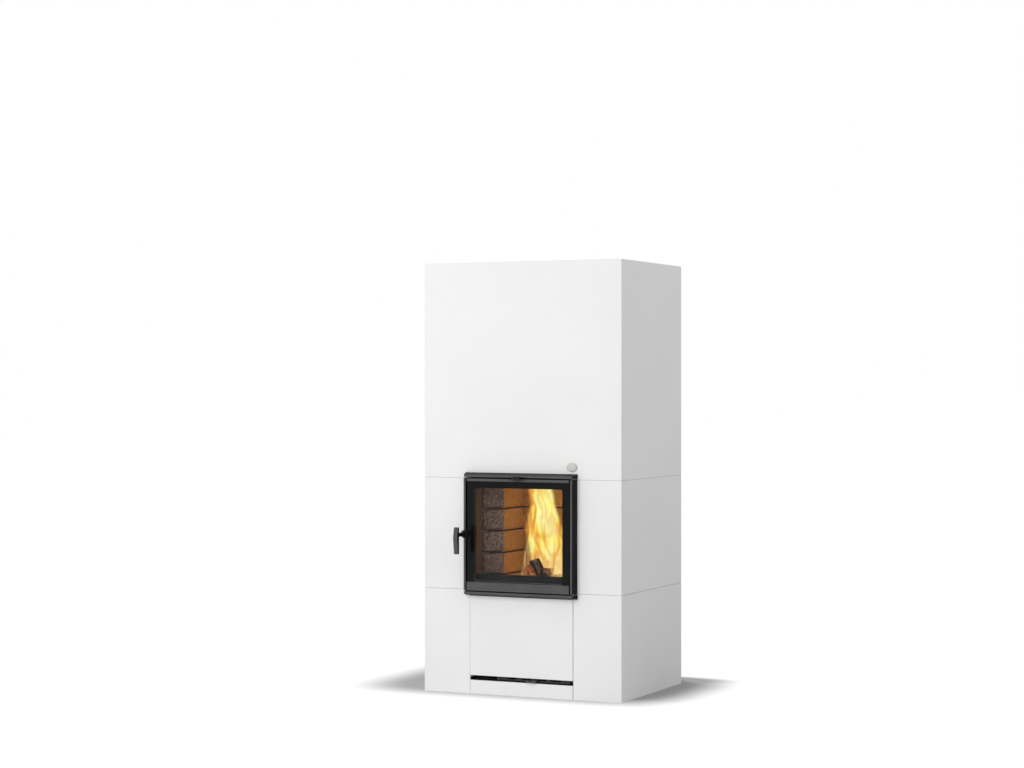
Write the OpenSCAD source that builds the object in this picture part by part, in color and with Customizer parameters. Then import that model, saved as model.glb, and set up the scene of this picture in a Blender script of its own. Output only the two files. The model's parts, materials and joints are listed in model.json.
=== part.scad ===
// Heat-retaining stove: smooth white cladding courses round a masonry core, with a glazed fire
// door, a drop-down ash hatch over an air slot, and an ash drawer that follows the hatch.
// Millimetres. X to the right, Y to the back, Z up. The origin is the middle of the footprint.

/* [Cladding] */
// Overall width of the stove
stove_w = 800; // [780:10:900]
// Overall depth of the stove
stove_d = 600; // [590:10:700]
// Overall height of the stove
stove_h = 1604; // [1450:10:1800]
// Height of the bottom course
base_h = 386.5; // [384:0.5:420]
// Height of the middle course
mid_h = 415.1; // [413:0.1:416]
// Thickness of the cladding blocks
wall_t = 50; // [46:1:52]
// Width and depth of the shadow groove between the courses
groove = 1.2; // [0.5:0.1:3]
// How far the cover slab lies below the rim
cover_recess = 2; // [0:0.5:10]
// Thickness of the cover slab
cover_t = 50; // [30:1:60]
// Gap round the cover slab
cover_gap = 0.8; // [0.5:0.1:2]
// Width of the oval disc
badge_w = 42; // [30:1:60]
// Height of the oval disc
badge_h = 32.5; // [20:0.5:50]
// Thickness of the oval disc
badge_t = 5; // [3:0.5:8]
// Distance of the oval disc from the stove's middle
badge_x = 205; // [150:5:250]
// Height of the oval disc above the door frame
badge_up = 24.5; // [20:0.5:60]
// How much the edge of the oval disc is rounded
badge_round = 3; // [1:0.5:4]

/* [Core] */
// Expansion gap between the core and the cladding
core_gap = 5; // [2:0.5:8]
// Thickness of the outer core slabs
core_t = 45; // [38:1:50]
// Thickness of the inner walls
inner_t = 43; // [35:1:50]
// Thickness of the slab over the smoke channels
core_top_t = 50; // [40:1:70]
// Height of the turn where the smoke goes over the inner walls
smoke_turn_h = 120; // [80:5:160]
// Thickness of the insulation between the core and the cover slab
insulation_t = 52; // [30:1:80]
// Thickness of the foundation slab
foundation_t = 50; // [45:1:50]
// Width of the ledge that carries the hearth slab
ledge_w = 37; // [25:1:40]
// Thickness of the hearth slab
hearth_t = 50; // [40:1:60]
// Half width of the ash shaft through the hearth slab
shaft_half = 90; // [70:1:92]
// Thickness of the firebox ceiling
ceiling_t = 50; // [40:1:70]
// Half width of the smoke opening in the ceiling
smoke_half = 100; // [80:5:130]
// Depth of the smoke opening in the ceiling
smoke_d = 130; // [100:5:160]
// Distance of the smoke opening from the back edge of the ceiling
smoke_back = 40; // [20:5:60]
// Inner diameter of the flue outlet
flue_d = 160; // [130:1:180]
// Wall of the flue collar
flue_wall = 3; // [2:0.5:5]
// Clearance round the flue collar
flue_gap = 1; // [0.5:0.1:3]
// Width of the flue collar's flange
collar_flange = 17; // [10:1:25]
// How far the flue collar's inner end lies inside the core's back slab
collar_in = 5; // [2:1:20]
// How far the flue collar's outer end lies inside the back face
collar_back = 1; // [0.5:0.5:5]
// Height of the flue outlet above the floor
flue_z = 200; // [180:5:260]

/* [Firebox] */
// Clear half width between the side linings
fire_half = 141; // [130:1:150]
// Distance of the front of the lining behind the stove's face
lining_front = 87.5; // [85:0.5:95]
// Width of the splayed cheek of a side lining
cheek_w = 54; // [45:1:56]
// Thickness of a side lining at its front edge
lining_lip = 8; // [6:0.5:12]
// Depth of the splayed cheek of a side lining
cheek_d = 60.5; // [50:0.5:65]
// Depth of the straight side wall behind the cheek
side_wall_d = 170; // [150:1:180]
// Thickness of the back lining
back_lining_t = 64; // [50:1:68]
// Number of lining courses
lining_courses = 6; // [6:1:6]
// Depth of the hearth slab's top below the seam over the bottom course
hearth_down = 36.5; // [30:0.5:40]
// Height of the firebox ceiling above the seam under the top course
ceiling_over = 41.9; // [38:0.1:60]
// Height of the air slit between two lining courses
air_slit = 5; // [4:0.5:8]
// Height of the first lining block
first_block_h = 81; // [79:1:90]
// Height and depth of the rebate under the cheek of a lining block
cheek_rebate = 6; // [3:0.5:8]
// Width of the nibs that hold the lining blocks apart
nib_w = 20; // [10:1:30]
// Depth of the nibs that hold the lining blocks apart
nib_d = 12; // [8:1:20]
// Air gap behind the lining
lining_gap = 4; // [2:0.5:6]
// Thickness of the firebox floor
floor_t = 41.5; // [38:0.5:50]
// Half width of the grate
grate_half = 94.5; // [93:0.5:100]
// Depth of the grate
grate_d = 139; // [120:1:145]
// Distance of the grate from the back lining
grate_back = 18; // [12:1:30]
// Thickness of the grate
grate_t = 13; // [8:1:16]
// Number of slots in the grate
grate_slots = 9; // [5:1:11]
// Width of a slot in the grate
grate_slot_w = 8; // [6:0.5:9]
// Width of the ledge under the grate
grate_ledge = 6; // [4:0.5:8]

/* [Door frame] */
// How far the bottom bar reaches below the top of the bottom course
frame_drop = 20; // [19.5:0.5:22]
// How far the top bar reaches above the top of the middle course
frame_over = 21.9; // [21:0.1:22.5]
// Half width of the bars at the wall
frame_half = 227.5; // [226:0.5:230]
// How far the frame and the leaf stand proud of the wall
frame_proud = 34; // [33:0.5:36]
// Height of the bars at the wall
bar_h = 16; // [15.5:0.1:16.5]
// How far the bars' outer faces draw in towards the front
bar_draft = 7.9; // [6:0.1:9]
// Corner radius of the bars in plan
bar_r = 7; // [2:0.5:9]
// Half width of the wall opening
opening_half = 206; // [205.8:0.1:207]
// Gap between the steel sleeve and the wall opening
sleeve_gap = 0.3; // [0.1:0.1:0.8]
// Thickness of the steel sleeve
sleeve_t = 2.7; // [2:0.1:2.8]
// Depth of the sleeve behind the wall's face
sleeve_d = 38; // [36:1:44]
// Thickness of the throat plates
throat_t = 8; // [6:0.5:8.5]
// Depth of the throat plates
throat_d = 70.5; // [60:0.5:74]
// Thickness of the stop flange
flange_t = 2; // [1.5:0.1:2.2]
// Half width of the clear opening in the stop flange
flange_half_in = 187; // [186:0.5:188]
// Half width of the stop flange
flange_half_out = 209; // [208:0.5:209.5]
// Height of the log retainer above the sill
retainer_h = 48; // [35:1:60]
// Height of the log retainer's bend above the sill
retainer_knee = 27.8; // [20:0.1:32]
// How far the log retainer leans back above its bend
retainer_lean = 12; // [5:1:18]
// Depth of the log retainer's foot
retainer_foot = 24; // [15:1:40]
// Distance of the log retainer behind the stove's face
retainer_back = 8; // [4:1:20]

/* [Door leaf] */
// Gap between the stiles and the bars
stile_gap = 3.2; // [2.5:0.1:4]
// Half width inside the stiles
stile_in = 212.1; // [211.5:0.1:213]
// Width of a stile's front
stile_w = 7.5; // [7:0.1:8]
// How far a stile's outer face draws in towards the front
stile_draft = 7.3; // [6:0.1:7.5]
// Gap between the stiles and the wall
leaf_clear = 3; // [2.9:0.1:3.5]
// Half width of the rails and the glass
rail_half = 207.2; // [205:0.1:208]
// Height of the top rail
top_rail_h = 10; // [8:0.5:12]
// Gap above the top rail, where the air lever comes out
lever_gap = 5.5; // [5.3:0.1:6]
// Height of the bottom rail
bottom_rail_h = 32; // [28:0.5:34]
// Gap under the bottom rail
bottom_gap = 4.5; // [3:0.1:6]
// How far the glass lies behind the rails' front
glass_back = 5; // [3:0.5:6]
// Thickness of the glass
glass_t = 4; // [3:0.5:5]
// Thickness of the tape behind the glass
tape_t = 1.6; // [1:0.1:2]
// Half width of the window in the carrier
window_half = 182; // [160:1:183]
// Height of the black border above the window
window_drop = 22; // [20:0.5:28]
// Height of the carrier's edge above the bottom rail
window_rise = 3; // [1:0.5:6]
// Corner radius of the window
window_r = 12; // [5:1:25]
// Depth of the dark groove between the rails and the stiles
groove_d = 15; // [10:0.5:16]
// Gap between the carrier and the stop flange
carrier_gap = 2.5; // [2.2:0.1:3]
// Diameter of the sealing rope
rope_d = 6; // [5:0.5:6.5]
// Cover of the stop flange on each side of the sealing rope
rope_land = 2; // [1:0.5:2.5]
// Corner radius of the sealing rope's path
rope_r = 12; // [8:1:20]
// Clearance between parts that only just pass each other
slip = 0.3; // [0.2:0.05:0.4]
// Radial clearance of a running fit
run_fit = 0.05; // [0.02:0.01:0.1]
// Diameter of the hinge pins
pin_d = 6; // [5:0.5:6.5]
// Diameter of the washer under the door
washer_d = 8.4; // [7.5:0.1:9]
// Depth of a hinge pin in its bar
pin_in_bar = 10; // [6:0.5:10.5]
// Depth of a hinge pin in the stile
pin_in_stile = 12; // [8:0.5:20]
// Distance of the hinge axis outside the stile's inner face
hinge_out = 6.4; // [6:0.1:6.6]
// Depth of the hinge axis behind the leaf's front
hinge_back = 14; // [13.5:0.1:14.5]
// Width of the finger scoops at the air lever
scoop_w = 77; // [60:1:90]
// Distance of the scoops' middle from the stove's middle
scoop_x = 4; // [-10:1:10]
// Depth of the finger scoop in the top rail
scoop_d = 8.5; // [5:0.5:9]
// How far the scoop in the top rail reaches back
scoop_back = 8; // [5:1:12]
// Depth of the finger scoop in the top bar
bar_scoop_d = 2.5; // [1:0.5:4]
// How far the scoop in the top bar reaches back
bar_scoop_back = 12; // [5:1:15]

/* [Handle and latch] */
// Height of the handle's spindle above the bottom of the frame
spindle_up = 228.5; // [200:0.5:250]
// Distance of the spindle outside the stile's inner face
spindle_out = 4.9; // [4.6:0.1:5.2]
// Diameter of the spindle
spindle_d = 8; // [7:0.5:8.5]
// Diameter of the boss round the spindle
boss_d = 17; // [15:0.5:18]
// Diameter of the rosette's rim
rosette_d = 29; // [26:0.5:34]
// Thickness of the rosette's rim
rosette_rim = 2; // [1:0.5:4]
// Length of the rosette
rosette_l = 23; // [18:0.5:28]
// Hollow of the rosette's flank
rosette_hollow = 0.35; // [0:0.05:0.6]
// Diameter of the rosette's nose
rosette_nose_d = 16; // [13:0.5:18]
// Diameter of the handle's stem
stem_d = 15; // [12:0.5:16]
// Distance of the grip's back from the leaf's front
grip_reach = 59; // [50:1:65]
// Width of the grip
grip_w = 16.5; // [15:0.5:18]
// Thickness of the grip at its ends
grip_t = 10; // [8:0.5:12]
// Extra thickness of the grip at its bend
grip_bend = 7; // [0:0.5:8]
// Rounding of the grip's edges
grip_round = 2; // [1:0.5:3]
// Distance of the grip's bend below the spindle
grip_bend_down = 8; // [0:0.5:20]
// Grip length above the spindle
grip_up = 28.5; // [20:0.5:35]
// Grip length below the spindle
grip_down = 70.5; // [50:0.5:90]
// Reach of the latch cam from the spindle
cam_r = 16; // [15.5:0.1:16.3]
// Width of the latch cam
cam_w = 9; // [7:0.5:10]
// Thickness of the latch cam
cam_t = 4; // [3:0.5:4]
// Distance of the latch cam inside the carrier's back
cam_back = 1.2; // [0.8:0.1:2]
// Width of the keeper's hook
keeper_w = 5; // [4:0.5:5]
// Thickness of the keeper's hook
keeper_t = 3; // [2.5:0.1:3.5]
// Distance of the keeper's hook below the latch cam
keeper_down = 4; // [3:0.5:6]
// Length of the keeper's foot below its hook
keeper_foot = 14; // [8:1:20]

/* [Air controls] */
// Height of the kick strip under the air slot
slot_z = 51; // [50.5:0.5:52]
// Height of the air slot
slot_h = 18; // [17.5:0.5:20]
// Thickness of the sliding plates
slide_t = 3; // [2:0.1:3]
// Sheet thickness of the air box
air_sheet_t = 1.5; // [1:0.1:2]
// Height of the lower slide
slide_h = 14; // [11:0.5:14.5]
// Travel of the lower slide to the left
lower_left = 95; // [60:1:100]
// Travel of the lower slide to the right
lower_right = 20; // [10:1:25]
// Distance of the lower lever's middle from the stove's middle
lower_x = 41; // [30:1:45]
// Width of the lower lever's loop
lower_loop_w = 40; // [34:1:54]
// Depth of the lower lever's loop
lower_loop_d = 46; // [24:1:47]
// How far the lower lever's loop stands in front of the wall
lower_proud = 22; // [18:1:24]
// Distance of the air box behind the stove's face
air_box_back = 4; // [2:0.5:8]
// Depth of the air box
air_box_d = 31; // [28:1:34]
// Thickness of the edge above the lower air windows
window_edge = 2; // [1.5:0.5:4]
// Distance of the upper lever's middle from the stove's middle
upper_x = -4; // [-10:1:0]
// Width of the upper lever's loop
upper_loop_w = 38; // [34:1:44]
// Depth of the upper lever's loop
upper_loop_d = 22; // [20:1:26]
// Width of the levers' rim
loop_rim = 6; // [5:0.5:7]
// Half width of the levers' shanks
shank_half = 9; // [6:0.5:11]
// How far the upper lever's loop stands in front of the leaf
loop_proud = 18; // [16:1:22]
// Distance of the upper slide's front behind the stove's face
upper_slide_back = 6; // [4:1:10]
// Width of an air window in the upper slide
upper_window_w = 30; // [20:1:50]
// Depth of an air window in the upper slide
upper_window_d = 8; // [4:1:12]
// Distance of the upper air windows from the lever's middle
upper_window_x = 60; // [40:1:70]
// Distance of the upper air windows behind the stove's face
upper_window_back = 20; // [14:1:24]
// Clearance in the notch over the upper slide
notch_clear = 2.7; // [1:0.1:4]
// Gap between the upper lever and the top rail
lever_clear = 1.3; // [1:0.1:1.5]
// Number of air windows in each plate
air_windows = 4; // [3:1:6]
// Width of an air window
air_window_w = 40; // [20:1:44]
// Height of an air window
air_window_h = 7; // [5:0.5:8]

/* [Ash hatch and drawer] */
// Half width of the hatch's opening
hatch_half = 210; // [208:0.5:212]
// Gap beside the hatch on the left
hatch_gap_left = 0.8; // [0.6:0.1:2]
// Gap beside the hatch on the right
hatch_gap_right = 2.6; // [0.6:0.1:3]
// Thickness of the hatch's tile
hatch_t = 40; // [36:1:41]
// Drop of the hatch's top edge below the frame
hatch_drop = 2; // [2:0.1:4]
// Sheet thickness of the hatch's steel frame
hatch_sheet_t = 3; // [2:0.5:4]
// Height of the ribs on the hatch's steel frame
hatch_rib = 5; // [3:0.5:5]
// Gap between the hatch's steel frame and the edges of the tile
hatch_frame_in = 9; // [6:1:14]
// Depth of the hatch's pivot behind the stove's face
pivot_back = 12; // [11.5:0.5:12.5]
// Height of the hatch's pivot above the slot
pivot_up = 8; // [7.5:0.1:8.5]
// Diameter of the hatch's pivot pins
pivot_d = 8; // [6:0.5:8.5]
// Depth of a pivot pin in the hatch and in its block
pivot_in = 12; // [8:0.5:20]
// How far the lintel's ends reach into the side blocks
lintel_seat = 15; // [8:0.5:16]
// Thickness of the lintel
lintel_t = 45; // [35:1:48]
// Half width of the ash housing
housing_half = 170; // [165:1:170]
// Distance of the ash housing's front behind the stove's face
housing_back = 60; // [58:1:70]
// Length of the ash housing
housing_l = 320; // [300:1:322]
// Height of the ash housing's floor above the foundation
housing_up = 100; // [95:1:105]
// Sheet thickness of the ash drawer and its housing
sheet_t = 2; // [1.5:0.1:3]
// Height of the drawer's runners
runner_h = 2.7; // [2:0.1:5]
// Width of the drawer's runners
runner_w = 20; // [10:1:30]
// Half width of the ash drawer
drawer_half = 160; // [140:1:161]
// Height of the ash drawer
drawer_h = 90; // [60:5:100]
// Length of the ash drawer
drawer_l = 243; // [200:1:245]
// Distance of the drawer's front behind the stove's face
drawer_back = 127; // [125:1:130]
// Depth of the drawer's lip
drawer_lip = 14; // [8:1:16]
// Height of the drawer's lip
drawer_lip_h = 10; // [6:1:20]

/* [Hidden] */

$fn = 64;
white = [0.93, 0.93, 0.92];
firebrick = [0.62, 0.50, 0.38];
concrete = [0.72, 0.69, 0.64];
steel = [0.34, 0.34, 0.34];
pale_metal = [0.82, 0.81, 0.80];
dark_steel = [0.14, 0.14, 0.14];

half_w = stove_w / 2;
half_d = stove_d / 2;
face_y = -half_d;
mid_top = base_h + mid_h;
clad_back_y = half_d - wall_t;

// Door frame and leaf
leaf_y = face_y - frame_proud;
frame_z = base_h - frame_drop;
frame_top = mid_top + frame_over;
bar_low = frame_z + bar_h;
bar_high = frame_top - bar_h;
stile_low = bar_low + stile_gap;
stile_high = bar_high - stile_gap;
leaf_low = bar_low + bottom_gap;
leaf_high = bar_high - lever_gap;
glass_low = leaf_low + bottom_rail_h;
glass_high = leaf_high - top_rail_h;
window_low = glass_low + window_rise;
window_high = glass_high - window_drop;
glass_y = leaf_y + glass_back;
tape_y = glass_y + glass_t;
carrier_y = tape_y + tape_t;
flange_y = face_y - flange_t;
carrier_back_y = flange_y - carrier_gap;
hinge_x = stile_in + hinge_out;
hinge_y = leaf_y + hinge_back;

// Upper air lever, between the leaf and the top bar
upper_z = leaf_high + lever_clear;
shelf_top = upper_z - slip;
shelf_z = shelf_top - sleeve_t;
notch_top = upper_z + slide_t + notch_clear;
upper_y = leaf_y - loop_proud;

// Sleeve and throat
sleeve_out = opening_half - sleeve_gap;
sleeve_in = sleeve_out - sleeve_t;
throat_in = sleeve_in - throat_t;
sill_z = base_h + sleeve_t;
sill_top = sill_z + throat_t;
throat_high = shelf_z - throat_t;
throat_y = face_y + slip;
rope_x = flange_half_in + rope_land + rope_d / 2;
rope_low = sill_top + 1;
rope_high = throat_high - 1;
rope_y = flange_y - slip - rope_d / 2;

// Handle and latch
handle_x = -stile_in - spindle_out;
spindle_z = frame_z + spindle_up;
grip_y = leaf_y - grip_reach;
cam_back_y = carrier_back_y - cam_back - cam_t;
pocket_y = cam_back_y - slip;
hook_in = -handle_x - cam_r + slip;
hook_out = hook_in + keeper_w;
hook_z = spindle_z - cam_w / 2 - keeper_down;
hook_front_y = pocket_y - slip - keeper_t;

// Masonry core
core_out_x = half_w - wall_t - core_gap;
core_in_x = core_out_x - core_t;
core_out_y = clad_back_y - core_gap;
core_in_y = core_out_y - core_t;
pier_y = -core_out_y + core_t - core_gap;
lining_y = face_y + lining_front;
lining_out = fire_half + cheek_w + lining_lip;
inner_in_x = lining_out + lining_gap;
inner_out_x = inner_in_x + inner_t;
back_wall_y = lining_y + cheek_d + side_wall_d;
inner_back_y = back_wall_y + back_lining_t + lining_gap;
inner_rear_y = inner_back_y + inner_t;
hearth_top = base_h - hearth_down;
lining_top = mid_top + ceiling_over;
lining_pitch = (lining_top - hearth_top - first_block_h) / (lining_courses - 1);
cover_top = stove_h - cover_recess;
core_high = cover_top - cover_t - insulation_t;
core_top_z = core_high - core_top_t;
inner_high = core_top_z - smoke_turn_h;
floor_top = hearth_top + floor_t;
grate_back_y = back_wall_y - grate_back;
collar_out = flue_d / 2 + flue_wall;

// Air slot, hatch and drawer
slot_top = slot_z + slot_h;
hatch_left = -hatch_half + hatch_gap_left;
hatch_right = hatch_half - hatch_gap_right;
hatch_top = frame_z - hatch_drop;
pivot_y = face_y + pivot_back;
pivot_z = slot_top + pivot_up;
air_z = slot_z + air_sheet_t;
air_front_y = face_y + air_box_back;
air_back_y = air_front_y + air_box_d;
air_half = hatch_right - slip;
lower_z = air_z + slip;
lower_y = air_back_y - air_sheet_t - 2 * slip - slide_t;
lower_lever_z = lower_z + slide_t;
lower_loop_y = face_y - lower_proud;
lower_slide_left = hatch_left + air_sheet_t + lower_left + 2 * slip;
lower_slide_right = air_half - air_sheet_t - lower_right - slip;
air_window_top = lower_z + slide_h - window_edge;
housing_y = face_y + housing_back;
housing_floor = foundation_t + housing_up;
drawer_z = housing_floor + sheet_t + runner_h + slip;
drawer_y = face_y + drawer_back;

module block(lo, hi) translate(lo) cube(hi - lo);

module both_sides() { children(); mirror([1, 0, 0]) children(); }

// A drawing in X and Z, made solid from y0 to y1
module thick_xz(y0, y1) translate([0, y1, 0]) rotate([90, 0, 0]) linear_extrude(y1 - y0) children();

// A drawing in Y and Z, made solid from x0 to x1
module thick_yz(x0, x1) translate([x0, 0, 0]) rotate([90, 0, 90]) linear_extrude(x1 - x0) children();

// A drawing in X and Y, made solid from z0 to z1
module thick_xy(z0, z1) translate([0, 0, z0]) linear_extrude(z1 - z0) children();

module rect(x0, x1, y0, y1) translate([x0, y0]) square([x1 - x0, y1 - y0]);

module round_rect(x0, x1, y0, y1, r) {
    rect(x0 + r, x1 - r, y0, y1);
    rect(x0, x1, y0 + r, y1 - r);
    for (x = [x0 + r, x1 - r], y = [y0 + r, y1 - r]) translate([x, y]) circle(r);
}

module rod_y(x, z, y0, y1, d) translate([x, y0, z]) rotate([-90, 0, 0]) cylinder(h = y1 - y0, d = d);

function arc(x, y, r, a0, a1, steps = 8) =
    [for (i = [0:steps]) let (a = a0 + (a1 - a0) * i / steps) [x + r * cos(a), y + r * sin(a)]];

function ellipse_points(w, h, steps = 40) =
    [for (i = [0:steps - 1]) [w / 2 * cos(i * 360 / steps), h / 2 * sin(i * 360 / steps)]];

// The shadow groove that runs round the stove at the foot of a course
module shadow_groove(z) difference() {
    block([-half_w - 1, -half_d - 1, z - 1], [half_w + 1, half_d + 1, z + groove]);
    block([-half_w + groove, -half_d + groove, z - 2], [half_w - groove, half_d - groove, z + groove + 1]);
}

// Half a course: a front leg that ends beside the opening, and the whole side
module side_course(opening, z0, z1) thick_xy(z0, z1) {
    rect(opening, half_w, face_y, face_y + wall_t);
    rect(half_w - wall_t, half_w, face_y, half_d);
}

module back_course(z0, z1)
    block([-half_w + wall_t, clad_back_y, z0], [half_w - wall_t, half_d, z1]);

module pivot_bores() both_sides()
    translate([hatch_half - pivot_in - hatch_gap_right, pivot_y, pivot_z]) rotate([0, 90, 0])
        cylinder(h = 2 * pivot_in + hatch_gap_right, d = pivot_d + 2 * run_fit);

module base_side() difference() {
    side_course(hatch_half, 0, base_h);
    block([hatch_half - 1, face_y - 1, frame_z + slip],
          [hatch_half + lintel_seat, face_y + wall_t + 1, base_h + 1]);
    pivot_bores();
}

module base_left() color(white) mirror([1, 0, 0]) base_side();

module base_right() color(white) base_side();

module base_back() color(white) difference() {
    back_course(0, base_h);
    rod_y(0, flue_z, clad_back_y - 1, half_d + 1, 2 * collar_out + 2 * flue_gap);
}

module kick_strip() color(white)
    block([hatch_left, face_y, 0], [hatch_right, face_y + wall_t, slot_z]);

module mid_side() difference() {
    side_course(opening_half, base_h, mid_top);
    shadow_groove(base_h);
}

module mid_left() color(white) mirror([1, 0, 0]) mid_side();

module mid_right() color(white) mid_side();

module mid_back() color(white) difference() {
    back_course(base_h, mid_top);
    shadow_groove(base_h);
}

module top_casing() color(white) difference() {
    thick_xy(mid_top, stove_h) {
        rect(-half_w, half_w, face_y, face_y + wall_t);
        for (x = [-half_w, half_w - wall_t]) rect(x, x + wall_t, face_y, half_d);
    }
    shadow_groove(mid_top);
    block([-opening_half, face_y - 1, mid_top - 1], [opening_half, face_y + wall_t + 1, notch_top]);
}

module top_back() color(white) difference() {
    back_course(mid_top, stove_h);
    shadow_groove(mid_top);
}

module cover_slab() color(white)
    block([-half_w + wall_t + cover_gap, face_y + wall_t + cover_gap, cover_top - cover_t],
          [half_w - wall_t - cover_gap, clad_back_y - cover_gap, cover_top]);

module insulation_board() color([0.88, 0.85, 0.74])
    block([-core_out_x, -core_out_y, core_high], [core_out_x, core_out_y, core_high + insulation_t]);

// A plain oval disc in three steps, proud of the front
module badge_disc() color(pale_metal)
    for (i = [0:2]) let (in = badge_round * i * i)
        translate([badge_x, 0, frame_top + badge_up])
            thick_xz(face_y - badge_t * (i + 1) / 3, face_y)
                polygon(ellipse_points(badge_w - in, badge_h - in));

module foundation_slab() color(concrete)
    block([-half_w + wall_t, face_y + wall_t, 0], [half_w - wall_t, clad_back_y, foundation_t]);

module core_side()
    block([core_in_x, -core_out_y, foundation_t], [core_out_x, core_out_y, core_top_z]);

module core_left() color(concrete) mirror([1, 0, 0]) core_side();

module core_right() color(concrete) core_side();

module core_back() color(concrete) difference() {
    block([-core_in_x, core_in_y, foundation_t], [core_in_x, core_out_y, core_top_z]);
    rod_y(0, flue_z, core_in_y - 1, core_out_y + 1, 2 * collar_out + 2 * slip);
}

// A lintel whose foot is cut back to clear the lining
module core_front() color(concrete) {
    block([-core_in_x, -core_out_y, notch_top + 1], [core_in_x, lining_y - slip, core_top_z]);
    block([-core_in_x, -core_out_y, lining_top], [core_in_x, pier_y, core_top_z]);
}

module core_piers() color(concrete) both_sides()
    block([inner_in_x, -core_out_y, foundation_t], [core_in_x, pier_y, notch_top + 1]);

module core_top() color(concrete)
    block([-core_out_x, -core_out_y, core_top_z], [core_out_x, core_out_y, core_high]);

module inner_side() {
    block([inner_in_x, pier_y, foundation_t], [inner_out_x, inner_rear_y, inner_high]);
    block([inner_in_x - ledge_w, pier_y, foundation_t], [inner_in_x, inner_back_y, hearth_top - hearth_t]);
}

module inner_wall_left() color(firebrick) mirror([1, 0, 0]) inner_side();

module inner_wall_right() color(firebrick) inner_side();

module inner_wall_back() color(firebrick)
    block([-inner_in_x, inner_back_y, foundation_t], [inner_in_x, inner_rear_y, inner_high]);

module hearth_slab() color(firebrick) difference() {
    block([-inner_in_x, pier_y, hearth_top - hearth_t],
          [inner_in_x, inner_back_y, hearth_top]);
    block([-shaft_half, grate_back_y - grate_d + grate_ledge, hearth_top - hearth_t - 1],
          [shaft_half, grate_back_y - grate_ledge, hearth_top + 1]);
}

module ceiling_slab() color(firebrick) difference() {
    block([-inner_in_x, pier_y, lining_top],
          [inner_in_x, inner_back_y, lining_top + ceiling_t]);
    block([-smoke_half, inner_back_y - smoke_back - smoke_d, lining_top - 1],
          [smoke_half, inner_back_y - smoke_back, lining_top + ceiling_t + 1]);
}

module flue_collar() color(steel) difference() {
    union() {
        rod_y(0, flue_z, core_in_y + collar_in, half_d - collar_back, 2 * collar_out);
        rod_y(0, flue_z, core_out_y, core_out_y + flue_wall, 2 * (collar_out + collar_flange));
    }
    rod_y(0, flue_z, core_in_y, half_d + 1, flue_d);
}

// The firebox in plan, between the cheeks and the back wall
module hearth_plan() polygon([
    [-fire_half - cheek_w, lining_y], [fire_half + cheek_w, lining_y],
    [fire_half, lining_y + cheek_d], [fire_half, back_wall_y],
    [-fire_half, back_wall_y], [-fire_half, lining_y + cheek_d]]);

module firebox_floor() color(firebrick) difference() {
    thick_xy(hearth_top, floor_top) hearth_plan();
    block([-grate_half, grate_back_y - grate_d, floor_top - grate_t],
          [grate_half, grate_back_y, floor_top + 1]);
    block([-grate_half + grate_ledge, grate_back_y - grate_d + grate_ledge, hearth_top - 1],
          [grate_half - grate_ledge, grate_back_y - grate_ledge, floor_top + 1]);
}

module grate() color(dark_steel) difference() {
    block([-grate_half + slip, grate_back_y - grate_d + slip, floor_top - grate_t],
          [grate_half - slip, grate_back_y - slip, floor_top - slip]);
    for (i = [1:grate_slots])
        let (x = -grate_half + 2 * grate_half * i / (grate_slots + 1))
            block([x - grate_slot_w / 2, grate_back_y - grate_d + 2 * grate_ledge, floor_top - grate_t - 1],
                  [x + grate_slot_w / 2, grate_back_y - 2 * grate_ledge, floor_top + 1]);
}

function course_high(i) = hearth_top + first_block_h + i * lining_pitch;

function course_low(i) = i == 0 ? hearth_top : course_high(i - 1) + air_slit;

module cheek_plan(back) polygon([
    [lining_out, lining_y], [fire_half + cheek_w + back, lining_y],
    [fire_half + back, lining_y + cheek_d], [fire_half + back, back_wall_y],
    [lining_out, back_wall_y]]);

// Blocks in courses, held apart by nibs at their outer edge, so that air enters through the slits
module lining_side() for (i = [0:lining_courses - 1]) {
    thick_xy(course_low(i) + (i == 0 ? 0 : cheek_rebate), course_high(i)) cheek_plan(0);
    if (i > 0) {
        thick_xy(course_low(i), course_low(i) + cheek_rebate) cheek_plan(cheek_rebate);
        for (y = [lining_y + cheek_d, back_wall_y - 2 * nib_w])
            block([lining_out - nib_d, y, course_high(i - 1) - slip],
                  [lining_out, y + nib_w, course_low(i) + slip]);
    }
}

module lining_left() color(firebrick) mirror([1, 0, 0]) lining_side();

module lining_right() color(firebrick) lining_side();

module lining_back() color(firebrick) for (i = [0:lining_courses - 1]) {
    block([-lining_out, back_wall_y, course_low(i)],
          [lining_out, back_wall_y + back_lining_t, course_high(i)]);
    if (i > 0)
        for (x = [-lining_out, lining_out - nib_w])
            block([x, back_wall_y + back_lining_t - nib_d, course_high(i - 1) - slip],
                  [x + nib_w, back_wall_y + back_lining_t, course_low(i) + slip]);
}

// The bars in plan: both ends drawn in towards the front, with round front corners
module bar_plan() {
    lean = atan(bar_draft / frame_proud);
    corner_x = frame_half - bar_draft - bar_r * (1 - sin(lean)) / cos(lean);
    corner = arc(corner_x, leaf_y + bar_r, bar_r, -90, -lean);
    polygon(concat([[frame_half, face_y]], [for (i = [8:-1:0]) corner[i]],
                   [for (p = corner) [-p.x, p.y]], [[-frame_half, face_y]]));
}

// A shallow scoop of the given depth under a straight edge at height z
module scoop(depth, z, y0, y1, up) {
    r = (scoop_w * scoop_w / 4 + depth * depth) / (2 * depth);
    rod_y(scoop_x, z + up * (depth - r), y0, y1, 2 * r);
}

module pin_bore(z0, z1, d)
    translate([hinge_x, hinge_y, z0]) cylinder(h = z1 - z0, d = d);

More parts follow.
